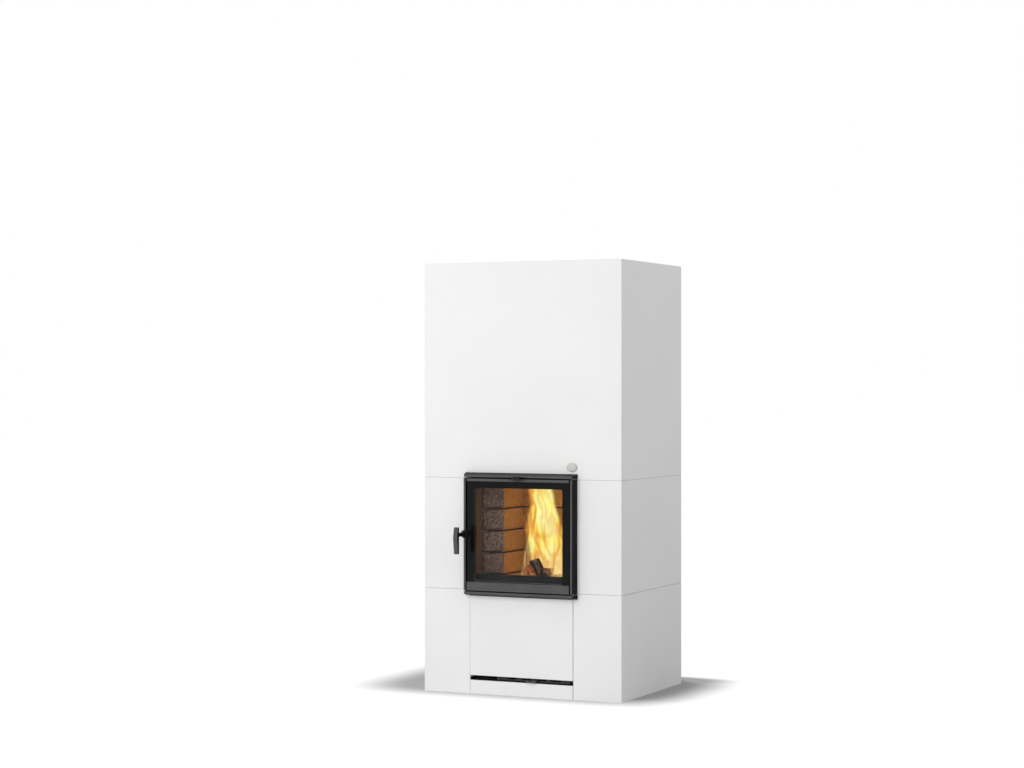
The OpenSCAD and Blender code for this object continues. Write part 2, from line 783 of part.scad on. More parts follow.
module frame_top_bar() color(steel) difference() {
    intersection() {
        thick_yz(-frame_half, frame_half) polygon([
            [face_y, bar_high], [leaf_y, bar_high], [leaf_y, frame_top - bar_draft], [face_y, frame_top]]);
        thick_xy(bar_high, frame_top) bar_plan();
    }
    scoop(bar_scoop_d, bar_high, leaf_y - 1, leaf_y + bar_scoop_back, 1);
    pin_bore(bar_high - 1, bar_high + pin_in_bar, pin_d + 2 * run_fit);
}

module frame_bottom_bar() color(steel) difference() {
    intersection() {
        thick_yz(-frame_half, frame_half) polygon([
            [face_y, bar_low], [leaf_y, bar_low], [leaf_y, frame_z + bar_draft], [face_y, frame_z]]);
        thick_xy(frame_z, bar_low) bar_plan();
    }
    pin_bore(bar_low - pin_in_bar, bar_low + 1, pin_d + 2 * run_fit);
}

// The sleeve lines the wall opening, carries the shelf of the air slide and ends in the stop flange
module frame_sleeve() color(dark_steel) {
    thick_xz(face_y, face_y + sleeve_d) difference() {
        rect(-sleeve_out, sleeve_out, base_h, shelf_top);
        rect(-sleeve_in, sleeve_in, sill_z, shelf_z);
    }
    thick_xz(flange_y, face_y) difference() {
        rect(-flange_half_out, flange_half_out, base_h, leaf_high - 1);
        round_rect(-flange_half_in, flange_half_in, rope_low + rope_x - flange_half_in,
                       rope_high - rope_x + flange_half_in, rope_r - rope_x + flange_half_in);
    }
}

module throat_side() block([throat_in, throat_y, sill_top], [sleeve_in, throat_y + throat_d, throat_high]);

module throat_left() color(dark_steel) mirror([1, 0, 0]) throat_side();

module throat_right() color(dark_steel) throat_side();

module throat_top() color(dark_steel)
    block([-sleeve_in, throat_y, throat_high], [sleeve_in, throat_y + throat_d, shelf_z]);

module throat_sill() color(dark_steel)
    block([-sleeve_in, throat_y, sill_z], [sleeve_in, throat_y + throat_d, sill_top]);

// A folded sheet that keeps logs off the glass: a foot, an upright and a lip that leans back
module log_retainer() color(dark_steel) thick_yz(-throat_in + 1, throat_in - 1) {
    y = face_y + retainer_back;
    knee = sill_top + retainer_knee;
    lip = sill_top + retainer_h;
    polygon([[y, sill_top], [y, knee], [y + retainer_lean, lip],
             [y + retainer_lean + 1.5 * sheet_t, lip - sheet_t / 2],
             [y + sheet_t, knee - sheet_t / 2], [y + sheet_t, sill_top + sheet_t],
             [y + retainer_foot, sill_top + sheet_t], [y + retainer_foot, sill_top]]);
}

// A hook on the stop flange, whose lip stands in front of the turned cam
module latch_keeper() color(steel) {
    block([-flange_half_out, flange_y - 1, hook_z - keeper_foot],
          [-hook_in, flange_y, hook_z + cam_w + keeper_down]);
    block([-hook_out, hook_front_y, hook_z - keeper_t], [-hook_in, flange_y - 1, hook_z]);
    block([-hook_out, hook_front_y, hook_z],
          [-hook_in, hook_front_y + keeper_t, hook_z + cam_w + keeper_down]);
}

module door_hinge_pins() color(steel) {
    pin_bore(bar_low - pin_in_bar + slip, stile_low + pin_in_stile - slip, pin_d);
    pin_bore(bar_low, stile_low - slip, washer_d);
    pin_bore(stile_high - pin_in_stile + slip, bar_high + pin_in_bar - slip, pin_d);
}

module stile(low, high) thick_xy(low, high) polygon([
    [stile_in, leaf_y], [stile_in + stile_w, leaf_y],
    [stile_in + stile_w + stile_draft, face_y - leaf_clear], [stile_in, face_y - leaf_clear]]);

// The room that the cam and the keeper's hook need, open to the back
module latch_pocket() {
    thick_xz(pocket_y, face_y) {
        translate([handle_x, spindle_z]) intersection() {
            circle(cam_r + 2 * slip);
            union() {
                rect(-cam_w / 2 - slip, cam_r + 1, -cam_w / 2 - slip, cam_r + 1);
                circle(cam_w / 2 + 1);
            }
        }
        translate([handle_x, spindle_z]) circle(cam_w / 2 + 1);
    }
    block([-hook_out - slip, hook_front_y - slip, hook_z - keeper_t - slip],
          [-hook_in + slip, face_y, hook_z + cam_w + keeper_down + slip]);
}

module door_left_stile() color(steel) difference() {
    union() {
        mirror([1, 0, 0]) stile(stile_low, stile_high);
        rod_y(handle_x, spindle_z, leaf_y, pocket_y, boss_d);
    }
    rod_y(handle_x, spindle_z, leaf_y - 1, face_y, spindle_d + 2 * run_fit);
    latch_pocket();
}

module door_right_stile() color(steel) difference() {
    stile(stile_low, stile_high);
    pin_bore(stile_low - 1, stile_low + pin_in_stile, pin_d + 2 * run_fit);
    pin_bore(stile_high - pin_in_stile, stile_high + 1, pin_d + 2 * run_fit);
}

module window_hole(y0, y1) thick_xz(y0, y1)
    round_rect(-window_half, window_half, window_low, window_high, window_r);

module rope_ring(w) difference() {
    round_rect(-rope_x - w, rope_x + w, rope_low - w, rope_high + w, rope_r + w);
    round_rect(-rope_x + w, rope_x - w, rope_low + w, rope_high - w, rope_r - w);
}

// The frame behind the glass: it joins the stiles and the rails and carries the sealing rope
module door_carrier() color(dark_steel) difference() {
    union() {
        block([-stile_in, leaf_y + groove_d, leaf_low], [stile_in, carrier_back_y, leaf_high]);
        block([-rail_half, carrier_y, leaf_low], [rail_half, carrier_back_y, leaf_high]);
    }
    window_hole(leaf_y, face_y);
    thick_xz(rope_y - rope_d / 2, face_y) rope_ring(rope_d / 2 + slip);
    latch_pocket();
    rod_y(handle_x, spindle_z, leaf_y, pocket_y, boss_d + 2 * slip);
}

module door_top_rail() color(steel) difference() {
    block([-rail_half, leaf_y, glass_high], [rail_half, carrier_y, leaf_high]);
    scoop(scoop_d, leaf_high, leaf_y - 1, leaf_y + scoop_back, -1);
}

module door_bottom_rail() color(steel)
    block([-rail_half, leaf_y, leaf_low], [rail_half, carrier_y, glass_low]);

module door_glass() color([0.1, 0.1, 0.1, 0.4])
    block([-rail_half, glass_y, glass_low], [rail_half, tape_y, glass_high]);

module glass_tape() color(dark_steel) difference() {
    block([-rail_half + 1, tape_y, glass_low + 1], [rail_half - 1, carrier_y, glass_high - 1]);
    window_hole(tape_y - 1, carrier_y + 1);
}

module door_rope() color([0.55, 0.53, 0.5]) translate([0, rope_y, 0]) {
    for (x = [-rope_x, rope_x])
        translate([x, 0, rope_low + rope_r]) cylinder(h = rope_high - rope_low - 2 * rope_r, d = rope_d);
    for (z = [rope_low, rope_high])
        translate([-rope_x + rope_r, 0, z]) rotate([0, 90, 0])
            cylinder(h = 2 * (rope_x - rope_r), d = rope_d);
    for (sx = [-1, 1], top = [0, 1])
        translate([sx * (rope_x - rope_r), 0, top ? rope_high - rope_r : rope_low + rope_r])
            rotate([90, 0, 0]) rotate([0, 0, (top ? 0 : 180) + (sx * (top ? 1 : -1) > 0 ? 0 : 90)])
                rotate_extrude(angle = 90) translate([rope_r, 0]) circle(d = rope_d);
}

module handle_rosette() color(steel) translate([handle_x, leaf_y, spindle_z]) rotate([90, 0, 0])
    rotate_extrude() polygon(concat(
        [[spindle_d / 2 + run_fit, 0], [rosette_d / 2, 0], [rosette_d / 2, rosette_rim]],
        [for (i = [1:10]) let (t = i / 10)
            [rosette_d / 2 + (rosette_nose_d - rosette_d) / 2 * sin(90 * t),
             rosette_rim + (rosette_l - rosette_rim)
                 * (rosette_hollow * (1 - cos(90 * t)) + (1 - rosette_hollow) * t)]],
        [[spindle_d / 2 + run_fit, rosette_l]]));

module door_handle() color(steel) {
    rod_y(handle_x, spindle_z, leaf_y - rosette_l - slip, cam_back_y + cam_t, spindle_d);
    rod_y(handle_x, spindle_z, grip_y - 1, leaf_y - rosette_l - slip, stem_d);
    intersection() {
        thick_yz(handle_x - grip_w / 2, handle_x + grip_w / 2) polygon([
            [grip_y, spindle_z - grip_down], [grip_y, spindle_z + grip_up],
            [grip_y - grip_t, spindle_z + grip_up],
            [grip_y - grip_t - grip_bend, spindle_z - grip_bend_down],
            [grip_y - grip_t, spindle_z - grip_down]]);
        thick_xz(grip_y - grip_t - grip_bend, grip_y)
            round_rect(handle_x - grip_w / 2, handle_x + grip_w / 2,
                       spindle_z - grip_down, spindle_z + grip_up, grip_round);
    }
}

// The arm that turns behind the keeper's lip
module latch_cam() color(steel) difference() {
    thick_xz(cam_back_y, cam_back_y + cam_t) translate([handle_x, spindle_z]) {
        circle(d = cam_w + 1);
        intersection() {
            rect(-cam_w / 2, cam_w / 2, 0, cam_r);
            circle(cam_r);
        }
    }
    rod_y(handle_x, spindle_z, cam_back_y - 1, face_y, spindle_d + 2 * run_fit);
}

module oval(w, d) {
    rect(-w / 2 + d / 2, w / 2 - d / 2, -d / 2, d / 2);
    for (x = [-w / 2 + d / 2, w / 2 - d / 2]) translate([x, 0]) circle(d = d);
}

// The oval ring at a lever's end, drawn in X and Y
module loop_plan(x, y, w, d) translate([x, y + d / 2]) rotate(w < d ? 90 : 0)
    let (long = max(w, d), short = min(w, d)) difference() {
        oval(long, short);
        oval(long - 2 * loop_rim, short - 2 * loop_rim);
    }

module window_row(x0, x1, y0, y1, z0, z1) for (i = [1:air_windows])
    let (x = x0 + (x1 - x0) * i / (air_windows + 1))
        block([x - air_window_w / 2, y0, z0], [x + air_window_w / 2, y1, z1]);

module upper_air_lever() color(steel) difference() {
    thick_xy(upper_z, upper_z + slide_t) {
        loop_plan(upper_x, upper_y, upper_loop_w, upper_loop_d);
        rect(upper_x - shank_half, upper_x + shank_half,
             upper_y + upper_loop_d - loop_rim, face_y + upper_slide_back + 1);
        rect(-flange_half_in / 2, flange_half_in / 2,
             face_y + upper_slide_back, face_y + sleeve_d);
    }
    for (x = [-upper_window_x, upper_window_x])
        block([x - upper_window_w / 2, face_y + upper_window_back, upper_z - 1],
              [x + upper_window_w / 2, face_y + upper_window_back + upper_window_d,
               upper_z + slide_t + 1]);
}

module lower_air_lever() color(steel) {
    difference() {
        block([lower_slide_left, lower_y, lower_z],
              [lower_slide_right, lower_y + slide_t, lower_z + slide_h]);
        window_row(lower_slide_left, lower_slide_right, lower_y - 1, lower_y + slide_t + 1,
                   air_window_top - air_window_h, air_window_top);
    }
    thick_xy(lower_lever_z, lower_lever_z + slide_t) {
        loop_plan(lower_x, lower_loop_y, lower_loop_w, lower_loop_d);
        rect(lower_x - shank_half, lower_x + shank_half,
             lower_loop_y + lower_loop_d - loop_rim, lower_y + slide_t);
    }
}

// A shallow tray in the air slot that guides the lower slide
module air_box() color(dark_steel) {
    block([hatch_left + slip, air_front_y, slot_z], [air_half, air_back_y, air_z]);
    difference() {
        block([hatch_left + slip, air_back_y - air_sheet_t, air_z], [air_half, air_back_y, slot_top - 1]);
        window_row(hatch_left, air_half, air_back_y - air_sheet_t - 1, air_back_y + 1,
                   air_window_top - air_window_h, air_window_top);
    }
    for (x = [hatch_left + slip, air_half - air_sheet_t])
        block([x, air_front_y, air_z], [x + air_sheet_t, air_back_y, slot_top - pivot_up]);
}

module hatch_lintel() color(concrete)
    block([-hatch_half - lintel_seat, face_y, frame_z + slip],
          [hatch_half + lintel_seat, face_y + lintel_t, base_h]);

module hatch_panel() color(white) difference() {
    block([hatch_left, face_y, slot_top], [hatch_right, face_y + hatch_t, hatch_top]);
    pivot_bores();
}

// A folded steel sheet that carries the tile
module hatch_frame() color(dark_steel) {
    y = face_y + hatch_t;
    x0 = hatch_left + hatch_frame_in;
    x1 = hatch_right - hatch_frame_in;
    z0 = pivot_z + hatch_frame_in;
    z1 = hatch_top - hatch_frame_in;
    block([x0, y, z0], [x1, y + hatch_sheet_t, z1]);
    for (x = [x0, x1 - hatch_sheet_t])
        block([x, y + hatch_sheet_t, z0], [x + hatch_sheet_t, y + hatch_sheet_t + hatch_rib, z1]);
}

module hatch_pins() color(steel) both_sides()
    translate([hatch_half - pivot_in - hatch_gap_right + slip, pivot_y, pivot_z]) rotate([0, 90, 0])
        cylinder(h = 2 * pivot_in + hatch_gap_right - 2 * slip, d = pivot_d);

module ash_housing() color(dark_steel) {
    for (x = [-housing_half, housing_half - sheet_t])
        block([x, housing_y, foundation_t], [x + sheet_t, housing_y + housing_l, hearth_top - hearth_t]);
    block([-housing_half + sheet_t, housing_y, housing_floor],
          [housing_half - sheet_t, housing_y + housing_l, housing_floor + sheet_t]);
    block([-housing_half + sheet_t, housing_y + housing_l - sheet_t, housing_floor + sheet_t],
          [housing_half - sheet_t, housing_y + housing_l, hearth_top - hearth_t]);
    both_sides() block([drawer_half - 2 * runner_w, housing_y, housing_floor + sheet_t],
                       [drawer_half - runner_w, housing_y + housing_l - sheet_t, drawer_z - slip]);
}

module ash_drawer() color(steel) {
    difference() {
        block([-drawer_half, drawer_y, drawer_z], [drawer_half, drawer_y + drawer_l, drawer_z + drawer_h]);
        block([-drawer_half + sheet_t, drawer_y + sheet_t, drawer_z + sheet_t],
              [drawer_half - sheet_t, drawer_y + drawer_l - sheet_t, drawer_z + drawer_h + 1]);
    }
    thick_yz(-drawer_half, drawer_half) polygon([
        [drawer_y, drawer_z + drawer_h - sheet_t], [drawer_y, drawer_z + drawer_h],
        [drawer_y - drawer_lip, drawer_z + drawer_h],
        [drawer_y - drawer_lip, drawer_z + drawer_h - drawer_lip_h],
        [drawer_y - drawer_lip + sheet_t, drawer_z + drawer_h - drawer_lip_h],
        [drawer_y - drawer_lip + sheet_t, drawer_z + drawer_h - sheet_t]]);
}

base_left();
base_right();
base_back();
kick_strip();
mid_left();
mid_right();
mid_back();
top_casing();
top_back();
cover_slab();
insulation_board();
badge_disc();
foundation_slab();
core_left();
core_right();
core_back();
core_front();
core_piers();
core_top();
inner_wall_left();
inner_wall_right();
inner_wall_back();
hearth_slab();
ceiling_slab();
flue_collar();
firebox_floor();
grate();
lining_left();
lining_right();
lining_back();
frame_top_bar();
frame_bottom_bar();
frame_sleeve();
throat_left();
throat_right();
throat_top();
throat_sill();
log_retainer();
latch_keeper();
door_hinge_pins();
door_left_stile();
door_right_stile();
door_carrier();
door_top_rail();
door_bottom_rail();
door_glass();
glass_tape();
door_rope();
handle_rosette();
door_handle();
latch_cam();
upper_air_lever();
lower_air_lever();
air_box();
hatch_lintel();
hatch_panel();
hatch_frame();
hatch_pins();
ash_housing();
ash_drawer();
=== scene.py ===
"""The looks of a heat-retaining stove: its finishes, window, seal, fire and studio."""

import json
import math
import random

import bmesh
import bpy
from bpy.props import (BoolProperty, FloatProperty, FloatVectorProperty, IntProperty,
                       PointerProperty)
from mathutils import Matrix, Vector, noise


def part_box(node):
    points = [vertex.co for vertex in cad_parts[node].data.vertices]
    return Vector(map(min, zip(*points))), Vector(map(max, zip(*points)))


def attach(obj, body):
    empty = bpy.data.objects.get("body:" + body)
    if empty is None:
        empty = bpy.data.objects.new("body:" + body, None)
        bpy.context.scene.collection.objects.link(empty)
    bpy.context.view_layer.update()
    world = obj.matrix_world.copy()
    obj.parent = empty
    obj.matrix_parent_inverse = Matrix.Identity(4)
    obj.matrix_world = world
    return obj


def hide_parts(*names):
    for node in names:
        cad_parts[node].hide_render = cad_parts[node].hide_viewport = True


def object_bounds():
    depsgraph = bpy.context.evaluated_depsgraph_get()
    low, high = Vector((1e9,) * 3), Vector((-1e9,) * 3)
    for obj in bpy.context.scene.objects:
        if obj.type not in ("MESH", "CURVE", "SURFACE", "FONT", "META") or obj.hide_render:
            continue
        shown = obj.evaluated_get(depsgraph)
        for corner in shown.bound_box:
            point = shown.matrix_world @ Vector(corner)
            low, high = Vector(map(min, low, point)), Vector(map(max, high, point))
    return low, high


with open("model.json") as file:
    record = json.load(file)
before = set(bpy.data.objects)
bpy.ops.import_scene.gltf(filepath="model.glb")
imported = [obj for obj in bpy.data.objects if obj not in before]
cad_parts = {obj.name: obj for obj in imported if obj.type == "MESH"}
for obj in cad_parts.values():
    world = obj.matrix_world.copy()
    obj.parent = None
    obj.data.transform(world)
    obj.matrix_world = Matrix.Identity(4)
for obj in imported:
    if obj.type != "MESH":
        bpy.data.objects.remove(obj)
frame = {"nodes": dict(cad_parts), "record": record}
CAD_BOX = [list(corner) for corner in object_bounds()]

bl_info = {
    "name": "Heat-Retaining Stove",
    "version": (1, 0, 0),
    "blender": (4, 5, 0),
    "location": "3D View > Sidebar > Stove",
    "description": "Dresses the packed stove: finishes, window, seal, fire and studio",
    "category": "Object",
}


# ---- Settings

def number(name, description, default, **limits):
    """A number setting."""
    return FloatProperty(name=name, description=description, default=default, **limits)


def length(name, description, default):
    """A length setting in metres."""
    return number(name, description, default, unit="LENGTH", min=0)


def share(name, description, default):
    """A setting between 0 and 1."""
    return number(name, description, default, subtype="FACTOR", min=0, max=1)


def colour(name, description, default):
    """A colour setting."""
    return FloatVectorProperty(name=name, description=description, subtype="COLOR", size=3,
                               min=0, max=1, default=default)


def point(name, description, default):
    """A place setting in metres."""
    return FloatVectorProperty(name=name, description=description, unit="LENGTH", size=3,
                               default=default)


class StoveStoneSettings(bpy.types.PropertyGroup):
    """Cladding and masonry."""
    plaster: colour("Cladding", "Mineral paint on the cladding blocks", (0.86, 0.86, 0.855))
    concrete: colour("Core", "Cast slabs of the core", (0.50, 0.475, 0.43))
    chamotte: colour("Inner walls", "Fired blocks of the inner walls", (0.55, 0.40, 0.27))
    lining: colour("Firebox lining", "Refractory blocks round the fire", (0.178, 0.115, 0.092))
    mouth: number("Mouth", "Depth at which the straight walls begin", -0.152, unit="LENGTH")
    # Painted shade: beyond this distance from the middle the lining's recessed lip is darkened.
    lip: length("Lip", "Where the lining's sooty lip begins, from the middle", 0.1945)
    smoke_line: length("Smoke line", "Height above which the lining stays black", 0.775)
    first_slit: length("First slit", "Height of the lowest air slit of the lining", 0.431)
    course: length("Course", "Height of one course of the lining with its slit", 0.0825)
    board: colour("Insulation", "Board under the cover slab", (0.76, 0.71, 0.58))
    block_round: length("Block edges", "Rounding of the cladding's edges", 0.0011)
    slab_round: length("Slab edges", "Rounding of the edges of the slabs behind it", 0.0018)


class StoveSteelSettings(bpy.types.PropertyGroup):
    """Door, frame and fittings."""
    # Painted light: the fronts' grey is a painted highlight and the flanks' near black is painted
    # shade.
    frame_paint: colour("Frame paint", "Satin paint on the fronts of door and bars",
                        (0.098, 0.098, 0.099))
    flank_paint: colour("Flank paint", "The same paint on their flanks", (0.0075, 0.0075, 0.008))
    black_paint: colour("Black paint", "Matt paint behind the glass", (0.010, 0.010, 0.011))
    iron: colour("Cast iron", "Grate", (0.055, 0.050, 0.048))
    bright: colour("Bright steel", "Pins, latch and keeper", (0.42, 0.42, 0.43))
    sheet: colour("Sheet steel", "Drawer, housing and flue collar", (0.21, 0.21, 0.215))
    badge: colour("Disc", "Lacquered oval disc", (0.60, 0.585, 0.57))
    edge_round: length("Edges", "Rounding of the edges of the steel parts", 0.0006)
    wear: share("Edge wear", "How much paint the edges have lost", 0.35)


class StoveWindowSettings(bpy.types.PropertyGroup):
    """The glass and its printed border."""
    border_side: length("Side border", "Width of the printed border at the sides", 0.0282)
    border_top: length("Top border", "Height of the printed border at the top", 0.0245)
    border_bottom: length("Bottom border", "Height of the printed border at the bottom", 0.0023)
    corner: length("Corner", "Corner radius of the clear window", 0.0085)
    glass_corner: length("Glass corner", "Corner radius of the print's outer edge", 0.002)
    print_t: length("Print thickness", "Thickness of the print on the glass", 0.00015)
    print_colour: colour("Print", "Enamel of the border", (0.0045, 0.0048, 0.0050))


class StoveSealSettings(bpy.types.PropertyGroup):
    """The braided rope in the door's groove."""
    rope_colour: colour("Rope", "Glass-fibre yarn", (0.30, 0.285, 0.26))
    bend: length("Bend", "Radius of the rope's middle at the door's corners", 0.012)
    strands: IntProperty(name="Strands", description="Yarns that the braid shows round the rope",
                         min=3, max=12, default=6)
    lay: length("Lay", "Length of one turn of a yarn", 0.018)
    relief: share("Relief", "Depth of the grooves between the yarns, in radii", 0.16)


class StoveFireSettings(bpy.types.PropertyGroup):
    """Firewood, embers and flames."""
    lit: BoolProperty(name="Lit", description="Whether flames stand on the wood", default=True)
    heart: point("Heart", "Middle of the fire, from which its light spreads",
                 (0.045, -0.090, 0.57))
    warmth: colour("Glow", "Colour of the fire's light on the lining", (1.0, 0.43, 0.060))
    strength: number("Glow strength", "Strength of the fire's light on the lining", 0.62, min=0)
    bark: colour("Bark", "Outside of the logs", (0.120, 0.068, 0.036))
    wood: colour("Split wood", "Split faces of the logs", (0.20, 0.105, 0.05))
    ash: colour("Ash", "Ash on the grate", (0.32, 0.30, 0.28))
    coals: IntProperty(name="Coals", description="Pieces of charcoal on the grate", min=0,
                       default=46)
    seed: IntProperty(name="Seed", description="Seed of the wood's unevenness", default=11)


class StoveStudioSettings(bpy.types.PropertyGroup):
    """Camera, lamps and floor."""
    camera_at: point("Camera", "Where the camera stands", (3.5126, -7.8129, 1.1520))
    camera_turn: number("Turn", "How far the camera turns to the left", math.radians(25.29),
                        unit="ROTATION")
    lens: number("Lens", "Focal length in millimetres", 79.137)
    key: number("Key", "Power of the large soft lamp at the left", 112.0, unit="POWER")
    key_size: length("Key size", "Width of the soft lamp", 2.6)
    key_at: point("Key place", "Where the soft lamp hangs", (-1.50, -5.05, 2.55))
    side_fill: number("Side lamp", "Power of the weak lamp at the right", 9.0, unit="POWER")
    side_at: point("Side place", "Where the weak lamp hangs", (2.60, 0.35, 3.60))
    sky: number("Sky", "Strength of the light from all round", 0.61)
    floor: colour("Floor", "Pale studio floor", (0.80, 0.80, 0.80))
    floor_half: length("Floor size", "Half the width of the floor", 30.0)
    fill: share("Floor fill", "How far the floor is filled up to white", 0.87)
    # The stove's shade round its foot on the floor is painted.
    contact: share("Contact shade", "How much of that the stove's shade takes away", 0.74)


def settings(group):
    """The scene's settings of that group."""
    return getattr(bpy.context.scene, "stove_" + group)


# ---- Node trees

def sign(operation, turned=False):
    """A sign between two values as a Math node."""
    def reckon(self, other):
        return self.weaver.math(operation, *((other, self) if turned else (self, other)))
    return reckon


class Value:
    """What a node gives, to reckon with."""
    __add__, __radd__ = sign("ADD"), sign("ADD", True)
    __sub__, __rsub__ = sign("SUBTRACT"), sign("SUBTRACT", True)
    __mul__, __truediv__, __pow__ = sign("MULTIPLY"), sign("DIVIDE"), sign("POWER")

    def __init__(self, weaver, socket):
        self.weaver, self.socket = weaver, socket

    def clamped(self):
        """The same, held between 0 and 1."""
        self.socket.node.use_clamp = True
        return self

    def spread(self, low, high, to_low=0.0, to_high=1.0):
        """Mapped smoothly from one range to another."""
        return self.weaver.give("MapRange", self, low, high, to_low, to_high,
                                interpolation_type="SMOOTHSTEP")


class Weaver:
    """Adds nodes to one node tree. Each value is a number, a colour, a Value or a socket."""

    def __init__(self, tree):
        self.tree = tree

    def feed(self, socket, value):
        if isinstance(value, Value):
            value = value.socket
        if isinstance(value, bpy.types.NodeSocket):
            self.tree.links.new(value, socket)
        elif value is not None:
            if socket.type == "RGBA" and len(value) == 3:
                value = (*value, 1.0)
            socket.default_value = value

    def node(self, kind, *values, sockets=None, **options):
        made = self.tree.nodes.new("ShaderNode" + kind)
        for name, value in options.items():
            setattr(made, name, value)
        for name, value in [*enumerate(values), *(sockets or {}).items()]:
            self.feed(made.inputs[name], value)
        return made

    def give(self, kind, *values, out=0, **options):
        return Value(self, self.node(kind, *values, **options).outputs[out])

    def math(self, operation, *values):
        return self.give("Math", *values, operation=operation)

    def vector(self, operation, *values, out=0):
        return self.give("VectorMath", *values, out=out, operation=operation)

    def scaled(self, vector, by):
        return self.vector("MULTIPLY", vector, by)

    def parts(self, vector):
        return [Value(self, part) for part in self.node("SeparateXYZ", vector).outputs]

    def mix(self, factor, a, b, blend="MIX"):
        return self.give("Mix", out=2, data_type="RGBA", blend_type=blend, clamp_factor=True,
                         sockets={0: factor, 6: a, 7: b})

    def tones(self, value, base, dark, pale, low=0.35, high=0.65):
        """From a darker to a paler tone of one colour as the value rises."""
        return self.mix(value.spread(low, high), shade(base, dark), shade(base, pale))

    def noise(self, scale, detail=4.0, roughness=0.6, distortion=0.0, at=None):
        return self.give("TexNoise", sockets={
            "Vector": at or self.place(), "Scale": scale, "Detail": detail,
            "Roughness": roughness, "Distortion": distortion})

    def cells(self, scale, feature="F1", at=None, out="Distance"):
        return self.give("TexVoronoi", feature=feature, out=out,
                         sockets={"Vector": at or self.place(), "Scale": scale})

    def ramp(self, value, *stops):
        made = self.node("ValToRGB", value)
        band = made.color_ramp
        for _ in stops[2:]:
            band.elements.new(0.5)
        for element, (place, tint) in zip(band.elements, stops):
            element.position = place
            element.color = (*tint, 1.0)
        return Value(self, made.outputs[0])

    def surface(self, ground, rough, relief, depth, wear=None, level=0.5, glow=None, **more):
        """The sockets of a Principled shader. The relief lies on the worn edges, if any."""
        normal = self.give("Bump", sockets={"Strength": 1.0, "Distance": depth, "Height": relief,
                                            "Normal": wear and wear["Normal"]})
        return {"Base Color": ground, "Roughness": rough, "Specular IOR Level": level,
                "Normal": normal, "Emission Color": glow,
                "Emission Strength": 1.0 if glow else 0.0, **more}

    def place(self):
        """The surface's place in the stove's own frame."""
        return self.give("TexCoord", out="Object")

    def normal(self):
        """The surface's true normal."""
        return self.give("NewGeometry", out="Normal")

    def round_uv(self):
        """The place on a sheet, along it and round it."""
        return self.give("UVMap", uv_map=SHEET_UV)

    def seen(self):
        """1 for what the eye sees, straight, mirrored or through glass, and 0 for light."""
        path = self.node("LightPath").outputs
        return self.math("MAXIMUM", path["Is Camera Ray"], self.math(
            "MAXIMUM", path["Is Glossy Ray"], path["Is Transmission Ray"]))

    def effect(self, name, **values):
        """One of the shared effects, with its own values."""
        made = self.tree.nodes.new("ShaderNodeGroup")
        made.node_tree = bpy.data.node_groups.get(name) or effect_tree(name)
        for label, value in values.items():
            self.feed(made.inputs[label.title()], value)
        return {given.name: Value(self, given) for given in made.outputs}

    def wear(self, radius, breakup):
        return self.effect("Edge Wear", radius=radius, breakup=breakup)

    def firelight(self, surface, rise, reach, part=1.0):
        """The fire's light on a surface of that colour."""
        fire = settings("fire")
        return self.effect("Fire Light", surface=surface, warmth=fire.warmth, heart=fire.heart,
                           rise=rise, reach=reach, strength=part * fire.strength)["Glow"]


def shade(base, by):
    """A colour made darker or paler."""
    return tuple(min(1.0, part * by) for part in base)


BLACK = (0.0, 0.0, 0.0)
GREY = (0.5, 0.5, 0.5, 1.0)
SHEET_UV = "Round"
EFFECTS = {}
OUTPUTS = {"Color": "Color", "Glow": "Color", "Normal": "Vector"}


def shared(name, *gives, **takes):
    """Keeps a function as a shared effect that gives and takes these sockets."""
    def keep(weave):
        EFFECTS[name] = weave, gives, takes
        return weave
    return keep


def effect_tree(name):
    """The node group of a shared effect."""
    weave, gives, takes = EFFECTS[name]
    tree = bpy.data.node_groups.new(name, "ShaderNodeTree")
    for label, value in takes.items():
        kind = "Float" if isinstance(value, float) else "Vector" if len(value) == 3 else "Color"
        tree.interface.new_socket(name=label, in_out="INPUT",
                                  socket_type="NodeSocket" + kind).default_value = value
    for label in gives:
        tree.interface.new_socket(name=label, in_out="OUTPUT",
                                  socket_type="NodeSocket" + OUTPUTS.get(label, "Float"))
    w = Weaver(tree)
    start, end = (tree.nodes.new("NodeGroup" + way) for way in ("Input", "Output"))
    for label, value in zip(gives, weave(w, *(Value(w, start.outputs[n]) for n in takes))):
        w.feed(end.inputs[label], value)
    return tree


@shared("Edge Wear", "Mask", "Normal", Radius=0.001, Breakup=60.0)
def edge_wear(w, radius, breakup):
    """Where an edge is rubbed, and the normal of an edge that is a little rounded."""
    soft = w.give("Bevel", radius, samples=4)
    off = 1.0 - w.vector("DOT_PRODUCT", soft, w.normal(), out=1)
    broken = w.noise(breakup, 5.0, 0.65).spread(0.35, 0.65, 0.25, 1.0)
    return (off.spread(0.01, 0.2) * broken).clamped(), soft


@shared("Speckle", "Color", "Height", Ground=GREY, Dark=GREY, Pale=GREY, Grain=300.0, Amount=0.5)
def speckle(w, ground, dark, pale, grain, amount):
    """Grains of a pale and a dark colour in a ground, as in cast and fired blocks."""
    cloud = w.noise(grain * 0.03, 5.0, 0.6)
    fine = w.noise(grain, 3.0, 0.7)
    pick = w.give("SeparateColor", w.cells(grain * 0.8, out="Color"))
    dark_grains = pick.spread(0.74, 0.80) * amount
    pale_grains = pick.spread(0.16, 0.10) * amount
    tint = w.mix(cloud.spread(0.3, 0.7, 0.0, 0.35), ground, dark)
    tint = w.mix(fine.spread(0.42, 0.72, 0.0, 0.45), tint, pale)
    tint = w.mix(pale_grains, w.mix(dark_grains, tint, dark), pale)
    return tint, fine - dark_grains * 0.5


